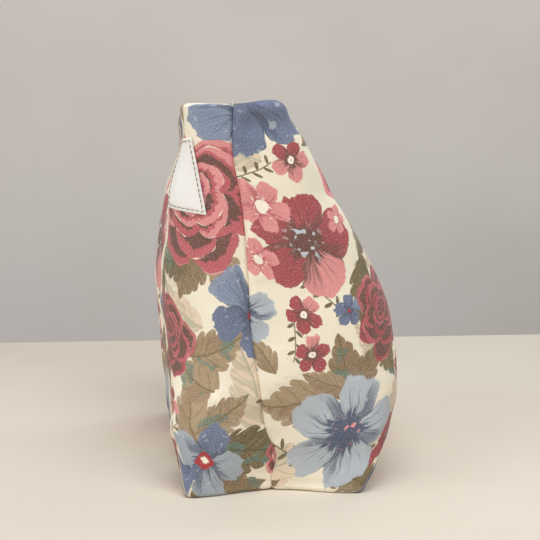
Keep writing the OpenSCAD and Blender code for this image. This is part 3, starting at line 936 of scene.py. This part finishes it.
def add_bump(tree, shader, height, strength, distance):
    fed = {"Strength": strength, "Distance": distance * MM, "Height": height}
    feed(tree, shader.inputs["Normal"], put(tree, "ShaderNodeBump", fed))


def set_finish(tree, shader, colour, roughness):
    feed(tree, shader.inputs["Base Color"], colour)
    feed(tree, shader.inputs["Roughness"], roughness)


# The share of the colour so far in a layer's place: it makes the layers wait for each other, so that the
# renderer has room for them, and is too small to move the print
NEXT_TO_NOTHING = (1e-12, 1e-12, 1e-12)


def print_layer(tree, colour, layer, group, inks):
    """One layer of motifs over the colour so far; its inks are fixed, or a function of each motif's seed."""
    place = put(tree, "ShaderNodeAttribute", output="Vector", attribute_name="print_" + layer)
    fed = {0: colour, 1: NEXT_TO_NOTHING, 2: place}
    place = put(tree, "ShaderNodeVectorMath", fed, operation="MULTIPLY_ADD")
    inks = inks(parts(place)[2]) if callable(inks) else inks
    out = use_group(tree, group, {"Place": place, **inks})
    return blend(out["Mask"], colour, out["Colour"])


def leaf_inks(seed):
    luck = chance(seed * 3.1)
    brown = band(luck, 0.7, 0.71)
    green = band(luck, 0.26, 0.25)
    return {"Body": blend(green, blend(brown, TAN, BROWN), OLIVE),
            "Dark": blend(green, blend(brown, BROWN, OLIVE), OLIVE_DARK),
            "Light": blend(green, TAN_LIGHT, TAN), "Touch": TEAL, "Rib": blend(green, OLIVE, OLIVE_DARK),
            "Touch share": 0.75, "Stroke": 0.6}


def blue_inks(seed):
    """Slate blooms; from seed 11 pale ones with stamens, from 13 pansies of two tones with an eye."""
    pale = band(seed, 10.4, 10.6)
    pansy = band(seed, 12.4, 12.6)
    lily = pale - pansy
    return {"Petals": 5.0, "Notch": 0.42, "Roundness": 3.2, "Ruffle": 0.34, "Reach": 0.26 + 0.12 * lily,
            "Pale share": 0.5 + lily * 0.45 - pansy * 0.1, "Rim place": 1.06,
            "Heart size": 0.1 + pansy * 0.1 - lily * 0.04, "Eye size": pansy * 0.45,
            "Stamens": lily, "Fleck": 0.5, "Body": SLATE,
            "Pale": blend(lily, blend(pansy, SLATE_LIGHT, MIST), MIST_MID), "Base": SLATE_DEEP,
            "Rim": MIST_LIGHT, "Heart": blend(lily, HEART_RED, SLATE_DEEP),
            "Eye": blend(lily, EYE_CREAM, PINK)}


def rose_inks(seed):
    dark = band(seed, 5.4, 5.6)
    return {"Light": blend(dark, PINK, ROSE_RED), "Middle": blend(dark, ROSE_RED, CRIMSON),
            "Deep": blend(dark, ROSE_RED, MAROON), "Shadow": MAROON, "Rim": blend(dark, EYE_CREAM, PINK)}


def posy_inks(seed):
    pink = band(seed, 5.4, 5.6)
    return {"Petals": 5.0, "Notch": 0.45, "Roundness": 2.6, "Ruffle": 0.25, "Reach": 0.36 - 0.04 * pink,
            "Pale share": 0.35, "Rim place": 1.08, "Heart size": 0.15 + pink * 0.05, "Eye size": 0.3,
            "Stamens": pink * 0.8, "Fleck": 0.25, "Body": blend(pink, CRIMSON, PINK), "Pale": PINK,
            "Base": blend(pink, MAROON, ROSE_RED), "Rim": PINK_LIGHT, "Heart": EYE_CREAM,
            "Eye": blend(pink, PINK, EYE_CREAM)}


RED_INKS = {"Petals": 5.0, "Notch": 0.3, "Roundness": 3.6, "Ruffle": 0.3, "Reach": 0.36, "Pale share": 0.22,
            "Rim place": 1.1, "Heart size": 0.14, "Eye size": 0.0, "Stamens": 1.0, "Fleck": 0.2,
            "Body": CRIMSON, "Pale": PINK, "Base": MAROON, "Rim": PINK_LIGHT, "Heart": MAROON,
            "Eye": MIST_LIGHT}
GHOST_INKS = {"Body": PEACH, "Dark": SAGE, "Light": CREAM, "Touch": SAGE, "Rib": SAGE, "Touch share": 0.5,
              "Stroke": 0.5}
SPRIG_INKS = {"Leaf": OLIVE, "Dark": OLIVE_DARK, "Stem": OLIVE}

# Layers of the print from the ground up: name, kind of motif, inks
PRINT_LAYERS = (("ghost", LEAF, GHOST_INKS), ("leaf_a", LEAF, leaf_inks), ("leaf_b", LEAF, leaf_inks),
                ("sprig", SPRIG, SPRIG_INKS), ("blue", BLOOM, blue_inks), ("red", BLOOM, RED_INKS),
                ("rose", ROSE, rose_inks), ("posy", BLOOM, posy_inks))


def flowered_cotton():
    """The print on its cream ground, a little worn by the weave, which shows through the ink."""
    material, tree, shader = new_material("flowered_cotton", Sheen_Weight=0.12, Sheen_Roughness=0.5, IOR=1.4)
    place = cloth_place(tree)
    colour = blend(noise(place, 0.03, 2), CREAM, CREAM_DEEP)
    for layer, group, inks in PRINT_LAYERS:
        colour = print_layer(tree, colour, layer, group, inks)
    weave = use_group(tree, WEAVE, {"Place": place, "Pitch": 0.6})
    grain = noise(place, 1.5, 2)
    ink = band(put(tree, "ShaderNodeRGBToBW", {0: colour}), 0.66, 0.4)
    colour = blend(band(grain, 0.5, 0.72) * ink * 0.2, colour, CREAM)
    colour = blend(band(grain, 0.5, 0.3) * ink * 0.2, colour, BLACK)
    set_finish(tree, shader, colour, 0.78 + weave["Speck"] * 0.15)
    add_bump(tree, shader, weave["Height"], strength=0.35, distance=0.12)
    return material


def woven(name, light, dark, pitch, depth):
    """Plain woven cloth or tape of one colour with its own threads."""
    material, tree, shader = new_material(name, Sheen_Weight=0.1, IOR=1.4)
    weave = use_group(tree, WEAVE, {"Place": cloth_place(tree), "Pitch": pitch})
    colour = blend(band(weave["Speck"], 0.3, 0.75), dark, light)
    set_finish(tree, shader, colour, 0.75 + weave["Speck"] * 0.2)
    add_bump(tree, shader, weave["Height"], strength=0.4, distance=depth)
    return material


def object_place(tree):
    """Object coordinates in millimetres."""
    place = put(tree, "ShaderNodeTexCoord", output="Object")
    return put(tree, "ShaderNodeVectorMath", {0: place, "Scale": 1 / MM}, operation="SCALE")


def spun(name, light, dark):
    """Thread or moulded teeth: a colour that varies a little from place to place."""
    material, tree, shader = new_material(name, IOR=1.45)
    grain = noise(object_place(tree), 1.3, 2)
    set_finish(tree, shader, blend(band(grain, 0.3, 0.7), dark, light), 0.5 + grain * 0.2)
    add_bump(tree, shader, noise(object_place(tree), 4.0, 2), strength=0.25, distance=0.1)
    return material


def nickel():
    """Plated metal with fine scratches along X and a tone that changes with wear."""
    material, tree, shader = new_material("zip_nickel", Metallic=1.0)
    place = object_place(tree)
    x, y, z = parts(place)
    scratch = noise(vector(x * 0.6, y * 6, z * 6), 1, 3)
    wear = band(noise(place, 0.8, 3), 0.35, 0.7)
    colour = blend(wear, srgb(150, 145, 136), srgb(196, 192, 184))
    set_finish(tree, shader, colour, 0.26 + scratch * 0.16)
    add_bump(tree, shader, scratch, strength=0.15, distance=0.05)
    return material


PRINT = flowered_cotton()
LINING = woven("lining_cotton", srgb(244, 236, 220), srgb(224, 212, 190), pitch=0.7, depth=0.12)
TAPE = woven("zip_tape_weave", srgb(240, 230, 208), srgb(214, 200, 172), pitch=0.8, depth=0.2)
LABEL = woven("label_cotton", srgb(252, 248, 245), srgb(240, 235, 231), pitch=0.55, depth=0.12)
TEETH = spun("zip_teeth_nylon", srgb(238, 226, 202), srgb(214, 200, 172))
OLIVE_THREAD = spun("olive_thread", srgb(150, 138, 84), srgb(112, 102, 58))
CREAM_THREAD = spun("cream_thread", srgb(244, 234, 212), srgb(220, 206, 178))
NICKEL = nickel()

# Pieces

def dress(obj, body, node):
    """Puts a piece on its body, in place of a CAD node."""
    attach(obj, body)
    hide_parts(node)


def cloth_piece(name, mesh, material, node):
    mesh.materials.append(material)
    obj = new_object(name, mesh)
    dress(obj, "bag", node)
    return obj


def outer_panel(side):
    """One printed panel; gives its grid of points."""
    front = side == FRONT
    name = "printed_front" if front else "printed_back"
    points, u, v = panel_points(side)
    mesh = grid_mesh(name, points, PANEL_THICKNESS, grid_normals(points, side))
    add_cloth_map(mesh, u, v)
    add_motif_places(mesh, u, v, side)
    obj = cloth_piece(name, mesh, PRINT, "front_panel" if front else "back_panel")
    return points


def joined_mesh(name, meshes):
    bm = bmesh.new()
    for mesh in meshes:
        bm.from_mesh(mesh)
    whole = bpy.data.meshes.new(name)
    bm.to_mesh(whole)
    bm.free()
    return whole


def lining_cloth():
    """Two halves that meet a hair apart along their seams."""
    halves = []
    for side in (FRONT, BACK):
        points = bag_half(side, LINING_INSET, LINING_INSET, HEIGHT - LINING_TOP, LINING_DETAIL)
        points[..., 1] += side * LINING_SEAM_GAP / 2
        half = grid_mesh("lining_half", points, LINING_THICKNESS, grid_normals(points, side))
        add_cloth_map(half, *cloth_uv(points, side))
        halves.append(half)
    obj = cloth_piece("lining_cloth", joined_mesh("lining_cloth", halves), LINING, "lining")


# Zip tapes: points along and across, groove beside the chain, and height, rate and start of the ribs
TAPE_STEPS = (215, 15)
TAPE_GROOVE = ((0.12, 4.4, 1.2),)
RIB_HEIGHT, RIB_RATE, RIBS_FROM = 0.04, 1.9, 3


def zip_tape(side):
    """A woven tape from the parting of the chain to under the panel, grooved beside the chain and ribbed."""
    front = side == FRONT
    node = "front_zip_tape" if front else "back_zip_tape"
    name = node + "_cloth"
    low, high = (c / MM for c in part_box(node))
    x = np.linspace(low.x, high.x, TAPE_STEPS[0])
    share = np.linspace(0, 1, TAPE_STEPS[1])
    y = mix(high.y, low.y, share) if front else mix(low.y, high.y, share)
    grid_x, grid_y = np.meshgrid(x, y)
    from_chain = np.abs(grid_y - ZIP_Y)
    groove = relief(from_chain, TAPE_GROOVE)
    ribs = RIB_HEIGHT * np.sin(grid_x * RIB_RATE) * (from_chain > RIBS_FROM)
    points = np.stack([grid_x, grid_y, high.z - groove + ribs], -1)
    up = np.zeros_like(points)
    up[..., 2] = 1
    mesh = grid_mesh(name, points, high.z - low.z, up)
    add_cloth_map(mesh, grid_x, grid_y)
    obj = cloth_piece(name, mesh, TAPE, node)


# Geometry node trees

def geometry_tree(name, inputs):
    """An empty geometry tree with named inputs; returns it with the terms of its inputs."""
    tree = bpy.data.node_groups.new(name, "GeometryNodeTree")
    tree.interface.new_socket("Geometry", in_out="INPUT", socket_type="NodeSocketGeometry")
    for label, kind in inputs.items():
        tree.interface.new_socket(label, in_out="INPUT", socket_type=kind)
    tree.interface.new_socket("Geometry", in_out="OUTPUT", socket_type="NodeSocketGeometry")
    start = tree.nodes.new("NodeGroupInput")
    return tree, {out.name: Term(tree, out) for out in start.outputs if out.name}


def close_geometry(tree, geometry, material):
    real = put(tree, "GeometryNodeRealizeInstances", {"Geometry": geometry})
    even = put(tree, "GeometryNodeSetShadeSmooth", {"Geometry": real})
    done = put(tree, "GeometryNodeSetMaterial", {"Geometry": even, "Material": material})
    end = tree.nodes.new("NodeGroupOutput")
    feed(tree, end.inputs["Geometry"], done)
    return tree


def stitch_tree():
    """Stitches one after another along a path of edges."""
    tree, given = geometry_tree("Stitch run", {
        "Pitch": "NodeSocketFloat", "Stitch length": "NodeSocketFloat", "Thread": "NodeSocketFloat",
        "Finish": "NodeSocketMaterial"})
    path = put(tree, "GeometryNodeMeshToCurve", {"Mesh": given["Geometry"]})
    fed = {"Curve": path, "Length": given["Pitch"]}
    points = put(tree, "GeometryNodeCurveToPoints", fed, mode="LENGTH")
    turned = Term(tree, points.socket.node.outputs["Rotation"])
    bead = put(tree, "GeometryNodeMeshUVSphere", {"Segments": 8, "Rings": 6, "Radius": 1.0})
    size = vector(given["Thread"] * 0.5, given["Thread"] * 0.5, given["Stitch length"] * 0.5)
    stitch = put(tree, "GeometryNodeTransform", {"Geometry": bead, "Scale": size})
    fed = {"Points": points, "Instance": stitch, "Rotation": turned}
    run = put(tree, "GeometryNodeInstanceOnPoints", fed)
    return close_geometry(tree, run, given["Finish"])


def chain_tree():
    """One side of the zip's chain: rounded teeth at a pitch along X, on a cord along their outer ends."""
    tree, given = geometry_tree("Zip chain", {
        "Start": "NodeSocketVector", "Count": "NodeSocketInt", "Pitch": "NodeSocketFloat",
        "Tooth": "NodeSocketVector", "Cord start": "NodeSocketVector", "Cord end": "NodeSocketVector",
        "Cord": "NodeSocketFloat", "Finish": "NodeSocketMaterial"})
    step = vector(given["Pitch"], 0.0, 0.0)
    fed = {"Count": given["Count"], "Start Location": given["Start"], "Offset": step}
    line = put(tree, "GeometryNodeMeshLine", fed)
    fed = {"Size": given["Tooth"], "Vertices X": 2, "Vertices Y": 3, "Vertices Z": 2}
    block = put(tree, "GeometryNodeMeshCube", fed)
    tooth = put(tree, "GeometryNodeSubdivisionSurface", {"Mesh": block, "Level": 1})
    teeth = put(tree, "GeometryNodeInstanceOnPoints", {"Points": line, "Instance": tooth})
    fed = {"Start": given["Cord start"], "End": given["Cord end"]}
    cord_line = put(tree, "GeometryNodeCurvePrimitiveLine", fed)
    ring = put(tree, "GeometryNodeCurvePrimitiveCircle", {"Resolution": 10, "Radius": given["Cord"] * 0.5})
    fed = {"Curve": cord_line, "Profile Curve": ring, "Fill Caps": True}
    cord = put(tree, "GeometryNodeCurveToMesh", fed)
    both = tree.nodes.new("GeometryNodeJoinGeometry")
    tree.links.new(cord.socket, both.inputs[0])
    tree.links.new(teeth.socket, both.inputs[0])
    return close_geometry(tree, Term(tree, both.outputs[0]), given["Finish"])


def grown(name, path, tree, values):
    """The plain mesh that a tree makes of a path, as an object of its own."""
    maker = new_object(name + "_maker", path)
    modifier = maker.modifiers.new("maker", "NODES")
    modifier.node_group = tree
    for item in tree.interface.items_tree:
        if item.in_out == "INPUT" and item.name in values:
            modifier[item.identifier] = values[item.name]
    depsgraph = bpy.context.evaluated_depsgraph_get()
    mesh = bpy.data.meshes.new_from_object(maker.evaluated_get(depsgraph))
    mesh.name = name
    maker.modifiers.remove(modifier)
    bpy.data.objects.remove(maker)
    return new_object(name, mesh)


def path_mesh(name, points, closed=False):
    mesh = bpy.data.meshes.new(name)
    count = len(points)
    edges = [(i, (i + 1) % count) for i in range(count if closed else count - 1)]
    mesh.from_pydata((np.asarray(points) * MM).tolist(), edges, [])
    return mesh


STITCHES, CHAIN = stitch_tree(), chain_tree()


def stitched(name, points, sizes, finish, closed=False):
    """A row of stitches along a path; sizes are their pitch, length and thread in millimetres."""
    pitch, length, thread = (size * MM for size in sizes)
    values = {"Pitch": pitch, "Stitch length": length, "Thread": thread, "Finish": finish}
    obj = grown(name, path_mesh(name, points, closed), STITCHES, values)
    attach(obj, "bag")
    return obj


# The zip's chain in millimetres: pitch and length of the teeth, and the cord's thickness, inset and drop.
# Teeth start larger than their room across and up, because rounding makes them smaller
TOOTH_PITCH = 2.0
TOOTH_LENGTH = 1.35
TOOTH_OVERSIZE = (1.1, 1.12)
CORD = 0.9
CORD_INSET = 0.4
CORD_DROP = 0.2


def zip_chain(side):
    """One side of the chain in the room of its teeth solid; the back's teeth lie half a pitch further on."""
    front = side == FRONT
    node = "front_zip_teeth" if front else "back_zip_teeth"
    low, high = (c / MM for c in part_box(node))
    count = int((high.x - low.x) / TOOTH_PITCH) - 1
    slack = (high.x - low.x - (count - 1) * TOOTH_PITCH) / 2 - TOOTH_PITCH / 4
    start_x = low.x + slack + (0 if front else TOOTH_PITCH / 2)
    mid_y, mid_z = (low.y + high.y) / 2, (low.z + high.z) / 2
    cord_y = ZIP_Y + side * (abs((low.y if front else high.y) - ZIP_Y) - CORD_INSET)
    wide, tall = (high.y - low.y) * TOOTH_OVERSIZE[0], (high.z - low.z) * TOOTH_OVERSIZE[1]
    values = {"Start": Vector((start_x, mid_y, mid_z)) * MM, "Count": count, "Pitch": TOOTH_PITCH * MM,
              "Tooth": Vector((TOOTH_LENGTH, wide, tall)) * MM,
              "Cord start": Vector((low.x, cord_y, mid_z - CORD_DROP)) * MM,
              "Cord end": Vector((high.x, cord_y, mid_z - CORD_DROP)) * MM, "Cord": CORD * MM,
              "Finish": TEETH}
    obj = grown(node + "_coil", path_mesh(node, [(0, 0, 0), (1, 0, 0)]), CHAIN, values)
    dress(obj, "bag", node)


# Angles of metal faces: as good as flat, a corner to be rounded, and an edge that stays sharp in its shading
FLAT, ROUNDED, SHARP = math.radians(2), math.radians(35), math.radians(40)


def metal_piece(node, body, edge):
    """A metal part of the zip, made from its solid, with worn round edges."""
    bm = bmesh.new()
    bm.from_mesh(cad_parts[node].data)
    bmesh.ops.remove_doubles(bm, verts=bm.verts, dist=1e-6)
    bmesh.ops.dissolve_limit(bm, angle_limit=FLAT, verts=bm.verts, edges=bm.edges)
    corners = [e for e in bm.edges if len(e.link_faces) == 2 and e.calc_face_angle() > ROUNDED]
    bmesh.ops.bevel(bm, geom=corners, offset=edge * MM, segments=2, profile=0.5, affect="EDGES")
    bmesh.ops.triangulate(bm, faces=[f for f in bm.faces if len(f.verts) > 4])
    mesh = bpy.data.meshes.new(node + "_metal")
    bm.to_mesh(mesh)
    bm.free()
    smooth_faces(mesh)
    mesh.set_sharp_from_angle(angle=SHARP)
    mesh.materials.append(NICKEL)
    dress(new_object(node + "_metal", mesh), body, node)


# Label, sewn round the front corner and a little askew
LABEL_FROM_SEAM = 19.5
LABEL_SIZE = (27.0, 37.5)
LABEL_MIDDLE_Z = 161.5
LABEL_TURN = math.radians(-5)
LABEL_SKEW = 0.14
LABEL_TAPER = 0.12
LABEL_STEPS = (31, 45)
LABEL_LIFT = 1.0
LABEL_THICKNESS = 0.5
LABEL_STITCH_INSET = 1.6
LABEL_STITCH_LIFT = 0.98
LABEL_STITCH = (2.75, 2.3, 0.5)
LABEL_STITCH_STEPS = 23
# How deep and how wide the stitches draw the label in; height, size and seed of its waves
DRAWN_IN, DRAWN_WIDTH = 0.22, 0.7
LABEL_WAVE, LABEL_WAVE_SIZE, LABEL_WAVE_SEED = 0.1, 14, 3


def front_point(u, z, lift):
    """A point on the front, lifted off the cloth; u goes round from the side seam's straight line."""
    depth = np.abs(front_face(z) - seam_y(z, False)) - bow(z) + lift
    half = half_length(z) + lift
    radius = corner(z, lift, depth)
    slope, end_depth, half_face = corner_frame(half, depth, radius, bow(z))
    turn = np.maximum(0, u - end_depth) / radius
    whole_turn = np.pi / 2 - slope
    on_arc = np.minimum(turn, whole_turn)
    x_face = half_face - (turn - whole_turn) * radius
    y_face = depth + bow(z) * (1 - (x_face / half_face) ** 2)
    on_end, on_corner = turn == 0, turn < whole_turn
    x = np.where(on_end, half, np.where(on_corner, half - radius + radius * np.cos(on_arc), x_face))
    y = np.where(on_end, u, np.where(on_corner, end_depth + radius * np.sin(on_arc), y_face))
    return np.stack([x, seam_y(z, False) - y, z], -1)


def label_point(across, down, lift):
    """A point on the label, in millimetres from its middle, to the left and down as seen from outside."""
    u = LABEL_FROM_SEAM + LABEL_SIZE[0] / 2 + across * math.cos(LABEL_TURN) + down * math.sin(LABEL_TURN)
    down = down * (1 - LABEL_TAPER * (across / LABEL_SIZE[0] + 0.5))
    z = LABEL_MIDDLE_Z - down * math.cos(LABEL_TURN) + across * (math.sin(LABEL_TURN) + LABEL_SKEW)
    from_seam = u + seam_y(z) - seam_y(z, False)
    point = front_point(u, z, lift + front_relief(from_seam, z))
    point[..., 1] -= label_corner(point)
    return point


def label_stitches():
    """The stitched border, just inside the label's edge."""
    half_width, half_height = (size / 2 - LABEL_STITCH_INSET for size in LABEL_SIZE)
    corners = [(-half_width, -half_height), (half_width, -half_height), (half_width, half_height),
               (-half_width, half_height), (-half_width, -half_height)]
    share = np.linspace(0, 1, LABEL_STITCH_STEPS + 1)[:-1]
    path = []
    for (across, down), (next_across, next_down) in zip(corners, corners[1:]):
        places = mix(across, next_across, share), mix(down, next_down, share)
        path.extend(label_point(*places, LABEL_STITCH_LIFT))
    return stitched("label_stitches", path, LABEL_STITCH, OLIVE_THREAD, closed=True)


def label_cloth():
    """The blank label, drawn in a little along its stitches."""
    half_width, half_height = (size / 2 for size in LABEL_SIZE)
    across, down = np.meshgrid(np.linspace(-half_width, half_width, LABEL_STEPS[0]),
                               np.linspace(-half_height, half_height, LABEL_STEPS[1]))
    edge = np.minimum(half_width - np.abs(across), half_height - np.abs(down))
    drawn_in = DRAWN_IN * bump(edge, LABEL_STITCH_INSET, DRAWN_WIDTH)
    waves = soft_waves(across, down, LABEL_WAVE_SIZE, LABEL_WAVE_SEED)
    lift = LABEL_LIFT - drawn_in + LABEL_WAVE * waves * (edge > 0)
    points = label_point(across, down, lift)
    outward = unit(label_point(across, down, lift + 1) - points)
    mesh = grid_mesh("label_cloth", points, LABEL_THICKNESS, outward)
    add_cloth_map(mesh, across, down)
    obj = cloth_piece("label_cloth", mesh, LABEL, "label")
    thread = label_stitches()


# Stitches beside the zip: the row of a panel's grid that carries them, their lift off it and their sizes
STITCH_ROW = 6
STITCH_LIFT = 0.12
ZIP_STITCH = (2.8, 2.3, 0.42)


def zip_stitches(name, points):
    """A row of stitches round half the zip, on the roof just outside its turned edge."""
    row = points[STITCH_ROW].copy()
    row[:, 2] += STITCH_LIFT
    stitched(name, row, ZIP_STITCH, CREAM_THREAD)


front_points = outer_panel(FRONT)
back_points = outer_panel(BACK)
lining_cloth()
for zip_side in (FRONT, BACK):
    zip_tape(zip_side)
    zip_chain(zip_side)
metal_piece("zip_top_stops", "bag", edge=0.15)
metal_piece("zip_bottom_stop", "bag", edge=0.15)
metal_piece("zip_slider", "slider", edge=0.12)
metal_piece("zip_pull", "pull", edge=0.16)
label_cloth()
zip_stitches("front_zip_stitches", front_points)
zip_stitches("back_zip_stitches", back_points)

# Stage, light and camera, in millimetres
FLOOR_Z, FLOOR_START, FLOOR_END, FLOOR_SIDE = -0.2, 900, -407, 1500
WALL_X, WALL_LOW, WALL_TOP, WALL_SIDE = -900, -900, 2500, 2500
LAMP_COLOUR = (0.95, 0.98, 1.0)
WORLD_COLOUR = (0.93, 0.97, 1, 1)
WORLD_STRENGTH = 0.3
CAMERA_LENS = 72.8
CAMERA_PLACE = (637.6, -62.4, 165.2)
CAMERA_TARGET = (0, 1.5, 105.1)


def painted(name, light, dark):
    """A surface of the stage, a little mottled."""
    material, tree, shader = new_material(name)
    mottle = noise(object_place(tree), 0.004, 3)
    set_finish(tree, shader, blend(band(mottle, 0.3, 0.7), dark, light), 0.55 + mottle * 0.2)
    return material


def plane(name, corners, light, dark):
    mesh = bpy.data.meshes.new(name)
    mesh.from_pydata([Vector(c) * MM for c in corners], [], [(0, 1, 2, 3)])
    mesh.materials.append(painted(name, light, dark))
    new_object(name, mesh)


plane("floor", [(FLOOR_START, -FLOOR_SIDE, FLOOR_Z), (FLOOR_START, FLOOR_SIDE, FLOOR_Z),
                (FLOOR_END, FLOOR_SIDE, FLOOR_Z), (FLOOR_END, -FLOOR_SIDE, FLOOR_Z)],
      srgb(230, 220, 204), srgb(224, 213, 196))
plane("backdrop", [(WALL_X, -WALL_SIDE, WALL_LOW), (WALL_X, WALL_SIDE, WALL_LOW),
                   (WALL_X, WALL_SIDE, WALL_TOP), (WALL_X, -WALL_SIDE, WALL_TOP)],
      srgb(231, 221, 213), srgb(225, 214, 205))


def aimed(name, data, place, target):
    """A lamp or camera at a place, turned towards its target."""
    obj = new_object(name, data)
    obj.location = Vector(place) * MM
    obj.rotation_euler = (Vector(target) * MM - obj.location).to_track_quat("-Z", "Y").to_euler()
    return obj


def area_light(name, place, target, size, watts):
    light = bpy.data.lights.new(name, "AREA")
    light.shape = "DISK"
    light.size = size * MM
    light.energy = watts
    light.color = LAMP_COLOUR
    aimed(name, light, place, target)


area_light("key", (560, 40, 1000), (0, 0, 100), size=800, watts=8.8)
area_light("fill", (560, -980, 520), (0, 0, 90), size=1200, watts=5.2)
area_light("back", (-800, 700, 800), (0, 0, 100), size=1200, watts=6)
world = bpy.data.worlds.new("studio")
world.use_nodes = True
world.node_tree.nodes["Background"].inputs["Color"].default_value = WORLD_COLOUR
world.node_tree.nodes["Background"].inputs["Strength"].default_value = WORLD_STRENGTH
bpy.context.scene.world = world
bpy.context.scene.view_settings.view_transform = "Standard"

camera = bpy.data.cameras.new("camera")
camera.lens = CAMERA_LENS
bpy.context.scene.camera = aimed("camera", camera, CAMERA_PLACE, CAMERA_TARGET)
